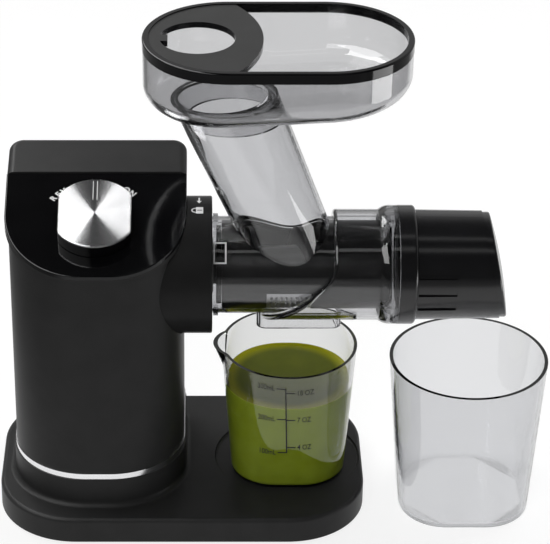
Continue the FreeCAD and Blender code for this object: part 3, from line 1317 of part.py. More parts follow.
def auger():
    """Screw with a tapered core, one helical flight, a driven hub behind and a pin in front."""
    start = AUGER_DISC_X + AUGER_DISC
    end = STRAINER_FRONT_X - STRAINER_WALL - AUGER_FRONT_GAP
    foot = Vector(start, 0, DRIVE_Z)
    core = Part.makeCone(AUGER_CORE_BACK_R, AUGER_CORE_FRONT_R, end - start, foot, X_AXIS)
    length = end - start - AUGER_FLIGHT_ROOT
    helix = Part.makeHelix(AUGER_PITCH, length, AUGER_CORE_BACK_R)
    root = AUGER_FLIGHT_ROOT / 2
    tip = AUGER_FLIGHT_TIP / 2
    inner = AUGER_CORE_BACK_R - AUGER_FLIGHT_SINK
    corners = [Vector(inner, 0, -root), Vector(AUGER_R, 0, -tip), Vector(AUGER_R, 0, tip)]
    corners.append(Vector(inner, 0, root))
    profile = Part.makePolygon(corners + corners[:1])
    flight = Part.Wire(helix).makePipeShell([profile], True, True)
    flight.rotate(Vector(0, 0, 0), Vector(0, 1, 0), 90)
    flight.translate(Vector(start + AUGER_FLIGHT_ROOT / 2, 0, DRIVE_Z))
    screw = core.fuse(flight)
    screw = screw.fuse(round_bar(AUGER_R, AUGER_DISC_X, start))
    screw = screw.fuse(round_bar(AUGER_HUB_R, AUGER_BACK_X, AUGER_DISC_X))
    screw = screw.fuse(round_bar(AUGER_PIN_R, end, STRAINER_FRONT_X + AUGER_FRONT_GAP))
    hole_end = SOCKET_FLOOR_X + HEX_LENGTH + OVERCUT
    hole = hex_bar(HEX_FLATS + 2 * HEX_CLEARANCE, AUGER_BACK_X - OVERCUT, hole_end)
    return screw.cut(hole).removeSplitter()


# End cap

def cap_blank(radius, shrink):
    """Slightly tapered solid of the cap's body with its slanted end, ended short by a shrink."""
    top_end = CAP_START_X + CAP_TOP_LENGTH - shrink
    bottom_end = CAP_START_X + CAP_BOTTOM_LENGTH - shrink
    slant = (bottom_end - top_end) / (2 * CAP_R)
    reach = CAP_R * 2
    middle = (top_end + bottom_end) / 2
    corners = [Vector(CAP_START_X, -reach, DRIVE_Z + reach)]
    corners.append(Vector(middle - slant * reach, -reach, DRIVE_Z + reach))
    corners.append(Vector(middle + slant * reach, -reach, DRIVE_Z - reach))
    corners.append(Vector(CAP_START_X, -reach, DRIVE_Z - reach))
    block = Part.Face(Part.makePolygon(corners + corners[:1])).extrude(Vector(0, 2 * reach, 0))
    length = bottom_end + reach - CAP_START_X
    end_r = radius - CAP_TAPER * length / CAP_BOTTOM_LENGTH
    cone = Part.makeCone(radius, end_r, length, Vector(CAP_START_X, 0, DRIVE_Z), X_AXIS)
    return cone.common(block)


def cap_dome():
    """Wide ball whose far side bulges a little beyond the cap's slanted end."""
    lean = (CAP_BOTTOM_LENGTH - CAP_TOP_LENGTH) / (2 * CAP_R)
    outward = Vector(1, 0, lean).normalize()
    ball_r = (CAP_R ** 2 + CAP_END_BULGE ** 2) / (2 * CAP_END_BULGE)
    end = Vector(CAP_START_X + (CAP_TOP_LENGTH + CAP_BOTTOM_LENGTH) / 2, 0, DRIVE_Z)
    return Part.makeSphere(ball_r, end + outward * (CAP_END_BULGE - ball_r))


def cap_end_edges(shape):
    """The rim of the slanted end."""
    found = []
    for edge in shape.Edges:
        if edge.BoundBox.XMin > CAP_START_X + CAP_TOP_LENGTH / 2 and edge.BoundBox.ZLength > CAP_R:
            found.append(edge)
    return found


def end_cap():
    """Hood on the drum's end: grip ring, slanted closed end, pulp outlet below, grip slots at the sides."""
    band = cap_blank(CAP_R - CAP_END_INSET, -2 * CAP_END_BULGE).common(cap_dome())
    band = band.makeFillet(CAP_END_R, cap_end_edges(band))
    body = band.fuse(cap_blank(CAP_R, CAP_END_BAND))
    ring_end = CAP_START_X + CAP_RING_LENGTH
    ring = round_bar(CAP_RING_R, CAP_START_X, ring_end)
    ring = ring.makeFillet(CAP_RING_EDGE_R, edges_at_x(ring, ring_end, CAP_RING_R))
    body = body.fuse(ring)
    hollow = cap_blank(CAP_R - CAP_WALL, CAP_WALL)
    body = body.cut(hollow)
    spigot_end = DRUM_FRONT_X + DRUM_SPIGOT_LENGTH
    body = body.cut(round_bar(DRUM_SPIGOT_R + LOOSE_CLEARANCE, CAP_START_X, spigot_end + CAP_GAP))
    groove_end = spigot_end + (CAP_GROOVE_WIDTH - CAP_LUG_WIDTH) / 2
    groove_r = DRUM_SPIGOT_R + CAP_GROOVE_DEPTH
    body = body.cut(sleeve(groove_r, DRUM_SPIGOT_R - OVERCUT, groove_end - CAP_GROOVE_WIDTH, groove_end))
    outlet_x = CAP_START_X + CAP_OUTLET_START
    half = CAP_OUTLET_WIDTH / 2
    outlet_end = outlet_x + CAP_OUTLET_LENGTH
    outlet = box(outlet_x, outlet_end, -half, half, DRIVE_Z - 2 * CAP_R, DRIVE_Z - CAP_R / 2)
    body = body.cut(outlet)
    slot_x = CAP_START_X + CAP_SLOT_START
    slot_span = math.degrees(CAP_SLOT_WIDTH / CAP_R)
    for angle in CAP_SLOT_ANGLES:
        for side in (angle, 180 - angle):
            floor_r = CAP_R - CAP_SLOT_DEPTH
            slot_end = slot_x + CAP_SLOT_LENGTH
            body = body.cut(ring_sector(floor_r, CAP_R + OVERCUT, slot_x, slot_end, side, slot_span))
    return body.removeSplitter()


def cap_seal():
    """O-ring in the groove of the drum's spigot, behind the lugs."""
    ring_r = DRUM_SPIGOT_R + RUN_CLEARANCE * 2 - CAP_SEAL_R
    return Part.makeTorus(ring_r, CAP_SEAL_R, Vector(DRUM_FRONT_X + CAP_SEAL_X, 0, DRIVE_Z), X_AXIS)


def cap_seal_groove():
    half = CAP_SEAL_R + SCREW_CLEARANCE
    floor_r = DRUM_SPIGOT_R + RUN_CLEARANCE - 2 * CAP_SEAL_R
    x = DRUM_FRONT_X + CAP_SEAL_X
    return sleeve(DRUM_SPIGOT_R + CAP_LUG_RISE + OVERCUT, floor_r, x - half, x + half)


# Hopper

def tray_floor_z(x):
    """Height of the tray's outer floor, which rises away from the chute."""
    return TRAY_BOTTOM_Z + (x - TRAY_LEFT_X - TRAY_FLOOR_OFFSET) * math.tan(FLOOR_ANGLE)


def below_tray_floor(rise):
    """Everything under the tray's slanted floor raised by a rise."""
    left = TRAY_LEFT_X - TRAY_LENGTH
    right = TRAY_LEFT_X + TRAY_LENGTH * 2
    deep = TRAY_BOTTOM_Z - TRAY_LENGTH
    corners = [Vector(left, -TRAY_LENGTH, tray_floor_z(left) + rise)]
    corners.append(Vector(right, -TRAY_LENGTH, tray_floor_z(right) + rise))
    corners.append(Vector(right, -TRAY_LENGTH, deep))
    corners.append(Vector(left, -TRAY_LENGTH, deep))
    return Part.Face(Part.makePolygon(corners + corners[:1])).extrude(Vector(0, 2 * TRAY_LENGTH, 0))


def tray_blank(inset, rise, radius):
    """Solid of the tray with its slanted floor and rounded lower edge, moved inwards by an inset."""
    deep = TRAY_BOTTOM_Z - TRAY_BOTTOM_R
    block = prism(tray_wire(inset, deep), TRAY_TOP_Z - LID_TOP - deep).cut(below_tray_floor(rise))
    rim = []
    for edge in block.Edges:
        middle = edge.valueAt((edge.FirstParameter + edge.LastParameter) / 2)
        if abs(middle.z - tray_floor_z(middle.x) - rise) < TOUCH:
            rim.append(edge)
    return block.makeFillet(radius, rim)


def hopper_tray():
    """Clear oval tray with a rebate for the lid, a slanted floor and a neck that plugs into the chute."""
    outer = tray_blank(TRAY_RIM_INSET, 0, TRAY_BOTTOM_R)
    ledge = TRAY_TOP_Z - LID_BAND - LOOSE_CLEARANCE
    rebate = prism(tray_wire(-OVERCUT, ledge), LID_BAND)
    rebate = rebate.cut(prism(tray_wire(LID_SKIRT + LOOSE_CLEARANCE, ledge), LID_BAND))
    outer = outer.cut(rebate)
    inner = tray_blank(TRAY_RIM_INSET + TRAY_WALL, TRAY_WALL, TRAY_BOTTOM_R - TRAY_WALL)
    reach = TRAY_LENGTH
    neck_bottom = TRAY_BOTTOM_Z - NECK_LENGTH
    neck_top = TRAY_BOTTOM_Z + TRAY_BOTTOM_R
    slab = box(-reach, reach * 2, -reach, reach, neck_bottom, neck_top)
    under = below_tray_floor(TRAY_WALL / 2)
    neck = feed_cone(FEED_WALL + LOOSE_CLEARANCE).common(slab).common(under)
    seat_slab = box(-reach, reach * 2, -reach, reach, TRAY_BOTTOM_Z, neck_top)
    seat = feed_cone(0).common(seat_slab).common(under)
    bore = feed_cone(FEED_WALL + LOOSE_CLEARANCE + NECK_WALL)
    mouth = box(-reach, reach * 2, -reach, reach, neck_bottom - OVERCUT, neck_top)
    return outer.cut(inner).fuse(neck).fuse(seat).cut(bore.common(mouth)).removeSplitter()


def hopper_lid():
    """Black rim band and the cover plate, set a little lower, with the keyed pusher hole."""
    bottom = TRAY_TOP_Z - LID_BAND
    under = TRAY_TOP_Z - LID_TOP
    band = prism(tray_wire(0, bottom), LID_BAND)
    band = band.makeFillet(LID_EDGE_R, edges_at_height(band, TRAY_TOP_Z))
    band = band.cut(prism(tray_wire(LID_SKIRT, bottom), under - bottom))
    band = band.cut(prism(tray_wire(LID_FLANGE, bottom), LID_BAND))
    cover_top = TRAY_TOP_Z - LID_COVER_DROP
    cover = prism(tray_wire(LID_FLANGE - LID_OVERLAP, cover_top - LID_COVER_THICKNESS), LID_COVER_THICKNESS)
    arc_x = TRAY_LEFT_X + LID_COVER_REACH - LID_COVER_ARC_R
    cover = cover.common(upright(LID_COVER_ARC_R, bottom, TRAY_TOP_Z, arc_x, 0))
    hole = upright(PUSHER_HOLE_R, bottom, TRAY_TOP_Z, PUSHER_HOLE_X, 0)
    half = PUSHER_KEY_WIDTH / 2
    key_end = PUSHER_HOLE_X - PUSHER_HOLE_R + PUSHER_KEY_DEPTH
    key = box(PUSHER_HOLE_X - PUSHER_HOLE_R - OVERCUT, key_end, -half, half, bottom, TRAY_TOP_Z)
    return band.fuse(cover.cut(hole.cut(key))).removeSplitter()


# Cups

def cup_section(x, y, z, half, radius):
    """Rounded square made of four sides and four arcs; a full radius makes it nearly round."""
    return rectangle_wire(x - half, x + half, y - half, y + half, radius, z)


def cup_blank(x, y, z0, z1, base, base_r, rim_r):
    """Solid that grows from a rounded square foot to a round rim."""
    low = cup_section(x, y, z0, base / 2, base_r)
    high = cup_section(x, y, z1, rim_r, rim_r - CUP_RIM_SPLIT)
    return Part.makeLoft([low, high], True, True)


def cup(x, y, z0, height, foot, rim_r, wall):
    """Outer and inner solids of a cup; the foot is its width and corner radius."""
    base, base_r = foot
    outer = cup_blank(x, y, z0, z0 + height, base, base_r, rim_r)
    outer = outer.makeFillet(CUP_EDGE_R, edges_at_height(outer, z0))
    inner = cup_blank(x, y, z0 + wall, z0 + height, base - 2 * wall, base_r - wall, rim_r - wall)
    inner = inner.makeFillet(CUP_EDGE_R - wall / 2, edges_at_height(inner, z0 + wall))
    return outer, inner


def juice_cup():
    """Clear measuring cup with a pouring lip on its left."""
    x = JUICE_CUP_X
    top = RECESS_FLOOR + JUICE_CUP_HEIGHT
    foot = (JUICE_CUP_BASE, JUICE_CUP_BASE_R)
    outer, inner = cup(x, 0, RECESS_FLOOR, JUICE_CUP_HEIGHT, foot, JUICE_CUP_RIM_R, JUICE_CUP_WALL)
    lip_x = x - JUICE_CUP_RIM_R + JUICE_CUP_LIP
    lip_foot = top - JUICE_CUP_LIP_HEIGHT
    start = Vector(lip_x, 0, lip_foot)
    lip = Part.makeCone(LIP_TIP_R, JUICE_CUP_LIP_R, JUICE_CUP_LIP_HEIGHT, start, Z_AXIS)
    hollow_start = Vector(lip_x + JUICE_CUP_WALL, 0, lip_foot + JUICE_CUP_WALL)
    lip_hollow = Part.makeCone(LIP_TIP_R, JUICE_CUP_LIP_R, JUICE_CUP_LIP_HEIGHT, hollow_start, Z_AXIS)
    body = outer.fuse(lip).cut(inner.fuse(lip_hollow))
    return body.removeSplitter()


def pulp_cup():
    """Smoky cup that stands on the table under the end cap."""
    foot = (PULP_CUP_BASE, PULP_CUP_BASE_R)
    outer, inner = cup(PULP_CUP_X, PULP_CUP_Y, 0, PULP_CUP_HEIGHT, foot, PULP_CUP_RIM_R, PULP_CUP_WALL)
    return outer.cut(inner).removeSplitter()


# Every node and the function that makes it

def all_nodes():
    back_bush_x = PLATE_BACK_X
    front_bush_x = PLATE_FRONT_X - PLATE_THICKNESS
    return {
        "base_plate": base_plate(),
        "bottom_cover": bottom_cover(),
        "base_feet": base_feet(),
        "cover_screws": cover_screws(),
        "tower_screws": tower_screws(),
        "gearbox_screws": gearbox_screws(),
        "trim_ring": trim_ring(),
        "tower_shell": tower_shell(),
        "control_panel": control_panel(),
        "cord_gland": cord_gland(),
        "control_board": control_board(),
        "drum_socket": drum_socket(),
        "socket_screws": socket_screws(),
        "shaft_seal": shaft_seal(),
        "gearbox_back_plate": gearbox_back_plate(),
        "gearbox_front_plate": gearbox_front_plate(),
        "gearbox_spacers": gearbox_spacers(),
        "drive_bush_back": drive_bush(back_bush_x, back_bush_x - BUSH_FLANGE),
        "drive_bush_front": drive_bush(front_bush_x, front_bush_x + PLATE_THICKNESS),
        "motor": motor(),
        "motor_screws": motor_screws(),
        "motor_shaft": motor_shaft(),
        "motor_pinion": motor_pinion(),
        "idler_pin": idler_pin(),
        "idler_gear": idler_gear(),
        "output_gear": output_gear(),
        "drive_shaft": drive_shaft(),
        "auger": auger(),
        "rotary_switch": rotary_switch(),
        "switch_nut": switch_nut(),
        "switch_spindle": switch_spindle(),
        "knob_body": knob_body(),
        "knob_face": knob_face(),
        "juicing_drum": juicing_drum(),
        "drum_seal": drum_seal(),
        "strainer_frame": strainer_frame(),
        "strainer_mesh": strainer_mesh(),
        "end_cap": end_cap(),
        "cap_seal": cap_seal(),
        "hopper_tray": hopper_tray(),
        "hopper_lid": hopper_lid(),
        "juice_cup": juice_cup(),
        "pulp_cup": pulp_cup(),
    }


os.makedirs("parts", exist_ok=True)
for name, shape in all_nodes().items():
    shape.translate(Vector(-ORIGIN_X, 0, 0))
    shape.exportStep("parts/" + name + ".step")
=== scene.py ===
import json
import math

import bpy
from mathutils import Matrix, Vector
from mathutils.bvhtree import BVHTree

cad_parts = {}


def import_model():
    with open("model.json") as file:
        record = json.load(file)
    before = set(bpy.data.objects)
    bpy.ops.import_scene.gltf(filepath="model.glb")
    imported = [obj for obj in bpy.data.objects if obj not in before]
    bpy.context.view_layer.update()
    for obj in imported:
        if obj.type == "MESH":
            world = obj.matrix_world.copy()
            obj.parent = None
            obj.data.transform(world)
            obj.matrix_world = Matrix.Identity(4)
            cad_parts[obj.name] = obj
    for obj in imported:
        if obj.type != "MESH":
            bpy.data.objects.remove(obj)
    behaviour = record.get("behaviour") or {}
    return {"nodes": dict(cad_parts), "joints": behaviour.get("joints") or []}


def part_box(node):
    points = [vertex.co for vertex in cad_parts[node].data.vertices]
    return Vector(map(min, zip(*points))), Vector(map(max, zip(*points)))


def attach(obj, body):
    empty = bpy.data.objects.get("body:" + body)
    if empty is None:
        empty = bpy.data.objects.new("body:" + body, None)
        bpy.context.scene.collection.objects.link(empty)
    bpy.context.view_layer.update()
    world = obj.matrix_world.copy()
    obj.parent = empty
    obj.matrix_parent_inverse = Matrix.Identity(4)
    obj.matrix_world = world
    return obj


# Looks of a horizontal slow juicer. Metres, in the model's own frame: +Z up, the front towards -Y.
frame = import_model()
NODES = frame["nodes"]
JOINTS = {joint["name"]: joint for joint in frame["joints"]}


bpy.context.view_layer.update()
MM = 0.001

# Camera; its lens and sensor are in millimetres
CAMERA_PLACE = Vector((-0.0445, -1.3275, 0.9161))
CAMERA_TILT = math.radians(60.1)
CAMERA_LENS = 163.6
CAMERA_SENSOR = 36.0
CAMERA_SHIFT = 0.136

# Directions
RIGHTWARDS = Vector((1, 0, 0))
BACKWARDS = Vector((0, 1, 0))
DOWNWARDS = Vector((0, 0, -1))

# Places on the machine, from the frame
KNOB_PLACE = Vector(JOINTS["knob_turn"]["pos_m"])
PANEL_NORMAL = Vector(JOINTS["knob_turn"]["axis"])
PANEL_UP = PANEL_NORMAL.cross(RIGHTWARDS)
DRIVE_Z = JOINTS["drum_twist"]["pos_m"][2]
SOCKET_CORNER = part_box("drum_socket")[1]
SOCKET_FACE_X = SOCKET_CORNER.x
SOCKET_R = SOCKET_CORNER.z - DRIVE_Z
CUP_LOW, CUP_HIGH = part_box("juice_cup")
CUP_X = CUP_HIGH.x - (CUP_HIGH.y - CUP_LOW.y) / 2
LID_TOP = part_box("hopper_lid")[1].z

# Materials: noise detail, where the two tones of a colour end, and how fast they drift
GRAIN_DETAIL = 2.0
TONE_DETAIL = 3.0
TONE_ENDS = (0.3, 0.7)
TONE_SCALE = 60.0
BOARD_TONE_SCALE = 220.0

# Clear plastic: refraction, faint ripple as noise scale and height, and the tint of its shadow
CLEAR_IOR = 1.57
CLEAR_RIPPLE = (45.0, 0.02 * MM)
CLEAR_SHADOW = (0.86, 0.86, 0.87)

# Turned aluminium of the knob's face
SPUN_ROUGHNESS = 0.22
SPUN_RING_SCALE = 4000.0
SPUN_DARK = (0.72, 0.72, 0.73)
SPUN_LIGHT = (0.9, 0.9, 0.91)

# The lid's cover plate: how far it lies below the rim, and how level its faces are
COVER_DEPTHS = (0.3 * MM, 1.2 * MM)
COVER_LEVEL = 0.9

# Printed ink and painted highlights: their gap to the surface and their thickness
PRINT_LIFT = 0.06 * MM
PRINT_THICKNESS = 0.05 * MM
LETTER_CURVE_STEPS = 3

# Panel letters on an arc round the knob: each letter's angle from the panel's right, degrees
PANEL_LETTERS = (("R", 142.3), ("E", 134.6), ("V", 127.2), ("O", 55.3), ("N", 47.2))
PANEL_ARC_R = 32.3 * MM
PANEL_LETTER_SIZE = 5.2 * MM
PANEL_BOLDNESS = 0.035

# Painted highlights on the two edges of the pointer groove on the knob: half their distance, their width,
# their ends up the face
KNOB_HEIGHT = 10.5 * MM
POINTER_HALF = 1.0 * MM
POINTER_HIGHLIGHT_WIDTH = 0.45 * MM
POINTER_ENDS = (10.0 * MM, 24.6 * MM)

# Juice: its level, its mesh, the small rise where it meets the wall, and the margin that picks its top faces
# for painted shade
JUICE_TOP = 0.0775
JUICE_STEPS = 28
JUICE_STEP_POWER = 1.6
JUICE_SIDES = 96
JUICE_SINK = 0.25 * MM
MENISCUS_RISE = 0.9 * MM
MENISCUS_REACH = 2.6 * MM
MENISCUS_SHARES = (0.3, 0.65, 1.0)
SHADED_TOP_MARGIN = 0.06 * MM

# Juice's look: the rim band and the middle of the top are in shares of the juice's box
JUICE_ROUGHNESS = 0.12
JUICE_TONE_SCALE = 90.0
JUICE_SCATTER = 0.35
JUICE_SCATTER_RADIUS = (1.0, 1.0, 0.15)
JUICE_SCATTER_SCALE = 3 * MM
JUICE_RIM_BAND = (0.39, 0.5)
JUICE_RIM_COLOUR = (0.26, 0.26, 0.004)
JUICE_TOP_MIDDLE = (0.5, 0.5, 1.0)

# The cup's scale: ends of its upright line as offset from the cup's middle and height, then its marks
SCALE_LOW = (-1.8 * MM, 0.0452)
SCALE_HIGH = (-3.2 * MM, 0.0941)
SCALE_LINE = 0.75 * MM
SCALE_LINE_STEPS = 24
SCALE_TICK = 5.6 * MM
SCALE_TICK_STEPS = 6
SCALE_WORD_GAP = 1.1 * MM
SCALE_LETTER = 5.5 * MM
SCALE_SQUEEZE = 0.7
SCALE_BOLDNESS = 0.004
SCALE_LEFT = (("100mL", 0.0452), ("200mL", 0.0709), ("300mL", 0.0941))
SCALE_RIGHT = (("4 OZ", 0.0491), ("7 OZ", 0.0703), ("10 OZ", 0.0909))
FRONT_OF_CUP_Y = -1.0

# Marks on the drum socket's rim: middle along the axis, how far back over the top, size
ARROW_X = SOCKET_FACE_X - 7.925 * MM
ARROW_TAIL = 9.5 * MM
ARROW_TIP = 0.4 * MM
ARROW_HEAD = 3.4 * MM
ARROW_HALF = 1.5 * MM
ARROW_STEM = 0.5 * MM
LOCK_X = SOCKET_FACE_X - 9.125 * MM
LOCK_BACK = -7.1 * MM
LOCK_LENGTH = 7.2 * MM
LOCK_WIDTH = 6.2 * MM
LOCK_BODY = 4.3 * MM
LOCK_LINE = 0.75 * MM
LOCK_ARC_STEPS = 10

# Stop block on the drum, outlined by a painted highlight: its back end and length along the axis, angles
# from the back over the top, radius, and the highlight's width
BLOCK_BACK_X = SOCKET_FACE_X + 0.5 * MM
BLOCK_LENGTH = 8.0 * MM
BLOCK_ANGLES = (math.radians(126), math.radians(150))
BLOCK_R = 32.2 * MM + PRINT_LIFT
BLOCK_HIGHLIGHT_WIDTH = 1.0 * MM
BLOCK_STEPS = 8

# Floor and the white sweep on it that mirrors and clear plastics see
FLOOR_HALF = 6.0
FLOOR_GLOW = 0.8
FLOOR_SHADE = 0.25
SWEEP_MIDDLE = (0.105, 0.39)
SWEEP_HALF = (0.345, 0.81)
SWEEP_EDGE = 0.12
SWEEP_BEYOND = 0.08

# Surround: levels from straight down to straight up, and the dimmer share on the camera's side
WORLD_RAMP = ((0.0, 0.3), (0.5, 0.4), (0.6, 0.6), (0.75, 0.5), (0.84, 0.22), (0.92, 0.05), (1.0, 0.03))
FRONT_SHARE = 0.12
FRONT_TURN = (-0.3, 0.1)

# White panel that the knob's face mirrors: its angles and tilts are degrees on that face
SECTOR_ANGLES = (128.0, 245.0)
SECTOR_TILTS = (7.0, 26.0)
SECTOR_REACH = 1.1
SECTOR_STEPS = 12
SECTOR_GLOW = 7.5

# White strips overhead: name, ends across, ends along, height, glow
STRIPS = (
    ("left_strip", (-1.1, -0.25), (-0.9, 0.1), 0.7, 5.0),
    ("near_strip", (-0.05, 0.5), (-0.16, -0.06), 1.2, 1.0),
    ("far_strip", (-0.05, 0.5), (-0.72, -0.56), 1.2, 1.0),
)

# Low white board at the right
BOARD_FOOT = ((0.49, -0.29), (0.56, 0.0))
BOARD_HEIGHT = 0.12
BOARD_GLOW = 5.0

# Softboxes
SIDE_LIGHT_REACH = 1.3
SIDE_LIGHT_SIZE = 0.9
SIDE_LIGHT_POWER = 8.0
SIDE_LIGHT_WAY = (0.6, 0.4, 0.69)
FRONT_LIGHT_PLACE = Vector((-0.5, -1.5, 1.3))
FRONT_LIGHT_AIM = Vector((0, 0, 0.12))
FRONT_LIGHT_SIZE = 0.8
FRONT_LIGHT_POWER = 13.0


# Material building blocks

def grey(level):
    """A neutral colour."""
    return (level, level, level)


def new_material(name):
    """A node material with its output and one Principled node, and that node."""
    material = bpy.data.materials.new(name)
    material.use_nodes = True
    return material, material.node_tree.nodes["Principled BSDF"]


def object_noise(tree, scale, detail):
    """Noise that is fixed to the object."""
    places = tree.nodes.new("ShaderNodeTexCoord")
    noise = tree.nodes.new("ShaderNodeTexNoise")
    noise.inputs["Scale"].default_value = scale
    noise.inputs["Detail"].default_value = detail
    tree.links.new(places.outputs["Object"], noise.inputs["Vector"])
    return noise


def add_grain(tree, shader, scale, height):
    """Fine surface grain as a bump of a real height."""
    noise = object_noise(tree, scale, GRAIN_DETAIL)
    bump = tree.nodes.new("ShaderNodeBump")
    bump.inputs["Strength"].default_value = 1.0
    bump.inputs["Distance"].default_value = height
    tree.links.new(noise.outputs["Fac"], bump.inputs["Height"])
    tree.links.new(bump.outputs["Normal"], shader.inputs["Normal"])


def add_tone(tree, shader, tones, scale):
    """Base colour that drifts between two tones."""
    noise = object_noise(tree, scale, TONE_DETAIL)
    ramp = tree.nodes.new("ShaderNodeValToRGB")
    for element, position, tone in zip(ramp.color_ramp.elements, TONE_ENDS, tones):
        element.position = position
        element.color = (*tone, 1)
    tree.links.new(noise.outputs["Fac"], ramp.inputs["Fac"])
    tree.links.new(ramp.outputs["Color"], shader.inputs["Base Color"])


def solid_material(name, tones, roughness, grain, specular=0.5, metallic=0.0, tone_scale=TONE_SCALE):
    """Opaque material with drifting tone and a grain of (scale, height)."""
    material, shader = new_material(name)
    tree = material.node_tree
    shader.inputs["Roughness"].default_value = roughness
    shader.inputs["Specular IOR Level"].default_value = specular
    shader.inputs["Metallic"].default_value = metallic
    add_tone(tree, shader, tones, tone_scale)
    add_grain(tree, shader, *grain)
    return material


def let_light_through(tree, shader):
    """Shadow rays pass a clear material and come out a little dimmer."""
    path = tree.nodes.new("ShaderNodeLightPath")
    through = tree.nodes.new("ShaderNodeBsdfTransparent")
    through.inputs["Color"].default_value = (*CLEAR_SHADOW, 1)
    mix = tree.nodes.new("ShaderNodeMixShader")
    tree.links.new(path.outputs["Is Shadow Ray"], mix.inputs["Fac"])
    tree.links.new(shader.outputs["BSDF"], mix.inputs[1])
    tree.links.new(through.outputs["BSDF"], mix.inputs[2])
    tree.links.new(mix.outputs["Shader"], tree.nodes["Material Output"].inputs["Surface"])


def clear_material(name, tint, density, swallowed):
    """Clear moulded plastic: refracts light and swallows a little of it inside the wall."""
    material, shader = new_material(name)
    tree = material.node_tree
    shader.inputs["Base Color"].default_value = (*tint, 1)
    shader.inputs["Roughness"].default_value = 0.0
    shader.inputs["IOR"].default_value = CLEAR_IOR
    shader.inputs["Transmission Weight"].default_value = 1.0
    add_grain(tree, shader, *CLEAR_RIPPLE)
    let_light_through(tree, shader)
    absorption = tree.nodes.new("ShaderNodeVolumeAbsorption")
    absorption.inputs["Color"].default_value = (*swallowed, 1)
    absorption.inputs["Density"].default_value = density
    tree.links.new(absorption.outputs["Volume"], tree.nodes["Material Output"].inputs["Volume"])
    return material


# Black plastics

def matt_black():
    """Moulded plastic of the tower and base."""
    grain = (2600, 0.015 * MM)
    return solid_material("matt_black", (grey(0.019), grey(0.023)), 0.42, grain, specular=0.12)


def satin_black():
    """Smoother plastic of the drum socket."""
    grain = (2600, 0.004 * MM)
    return solid_material("satin_black", (grey(0.014), grey(0.017)), 0.3, grain, specular=0.06)


def gloss_black():
    """Polished plastic of the panel, the knob's body and the lid's rim."""
    tones = ((0.003, 0.003, 0.0035), (0.004, 0.004, 0.0045))
    return solid_material("gloss_black", tones, 0.08, (30, 0.01 * MM), specular=0.3)


def lid_satin():
    """Paler satin plastic of the lid's cover plate."""
    grain = (2600, 0.01 * MM)
    return solid_material("lid_satin", (grey(0.036), grey(0.042)), 0.35, grain, specular=0.12)


def cap_black():
    """Shiny plastic of the end cap, with a slow ripple."""
    tones = ((0.006, 0.006, 0.0065), (0.008, 0.008, 0.009))
    return solid_material("cap_black", tones, 0.2, (40, 0.02 * MM))


def inner_black():
    """Plastic of the auger, the strainer's frame and the switch."""
    grain = (900, 0.02 * MM)
    return solid_material("inner_black", (grey(0.003), grey(0.005)), 0.3, grain, specular=0.35)


# Clear plastics

def smoky_plastic():
    """Smoky pulp cup."""
    return clear_material("smoky_plastic", (0.97, 0.97, 0.98), 90.0, (0.0, 0.02, 0.04))


def drum_plastic():
    """Drum with its chute."""
    return clear_material("drum_plastic", (0.97, 0.97, 0.98), 95.0, (0.0, 0.01, 0.03))


def tray_plastic():
    """Hopper tray: tinted at its surface more than in its wall."""
    return clear_material("tray_plastic", (0.73, 0.73, 0.74), 60.0, (0.0, 0.01, 0.02))


def clear_plastic():
    """Clear juice cup."""
    return clear_material("clear_plastic", grey(0.98), 90.0, (0.0, 0.02, 0.02))


# Metals

def bright_trim():
    """Polished band round the tower's foot."""
    tones = ((0.78, 0.78, 0.79), (0.84, 0.84, 0.85))
    return solid_material("bright_trim", tones, 0.16, (60, 0.004 * MM), metallic=1.0)


def spun_aluminium():
    """Turned aluminium: the grain runs in circles round the knob's centre."""
    material, shader = new_material("spun_aluminium")
    tree = material.node_tree
    shader.inputs["Metallic"].default_value = 1.0
    shader.inputs["Roughness"].default_value = SPUN_ROUGHNESS
    shader.inputs["Anisotropic"].default_value = 1.0
    places = tree.nodes.new("ShaderNodeTexCoord")
    centred = tree.nodes.new("ShaderNodeVectorMath")
    centred.operation = "SUBTRACT"
    centred.inputs[1].default_value = KNOB_PLACE
    tree.links.new(places.outputs["Object"], centred.inputs[0])
    tree.links.new(centred.outputs["Vector"], shader.inputs["Tangent"])
    length = tree.nodes.new("ShaderNodeVectorMath")
    length.operation = "LENGTH"
    tree.links.new(centred.outputs["Vector"], length.inputs[0])
    rings = tree.nodes.new("ShaderNodeTexNoise")
    rings.noise_dimensions = "1D"
    rings.inputs["Scale"].default_value = SPUN_RING_SCALE
    tree.links.new(length.outputs["Value"], rings.inputs["W"])
    ramp = tree.nodes.new("ShaderNodeValToRGB")
    ramp.color_ramp.elements[0].color = (*SPUN_DARK, 1)
    ramp.color_ramp.elements[1].color = (*SPUN_LIGHT, 1)
    tree.links.new(rings.outputs["Fac"], ramp.inputs["Fac"])
    tree.links.new(ramp.outputs["Color"], shader.inputs["Base Color"])
    return material


def steel():
    """Ground steel of shafts, pinion, nut and strainer mesh."""
    tones = ((0.5, 0.5, 0.51), (0.6, 0.6, 0.61))
    return solid_material("steel", tones, 0.28, (900, 0.004 * MM), metallic=1.0)


def zinc_screws():
    """Plated screws."""
    tones = ((0.42, 0.43, 0.45), (0.52, 0.53, 0.55))
    return solid_material("zinc_screws", tones, 0.35, (1500, 0.004 * MM), metallic=1.0)


def motor_can():
    """Dark drawn can of the motor."""
    tones = ((0.2, 0.2, 0.21), (0.27, 0.27, 0.28))
    return solid_material("motor_can", tones, 0.4, (700, 0.01 * MM), metallic=0.9)


def pressed_sheet():
    """Plated sheet of the gearbox."""
    tones = ((0.5, 0.5, 0.52), (0.62, 0.62, 0.64))
    return solid_material("pressed_sheet", tones, 0.38, (500, 0.01 * MM), metallic=1.0)


def bush_brass():
    """Sintered brass of the drive bushes."""
    tones = ((0.5, 0.33, 0.1), (0.6, 0.42, 0.15))
    return solid_material("bush_brass", tones, 0.4, (1800, 0.01 * MM), metallic=1.0)


# Inner plastics, seals and board

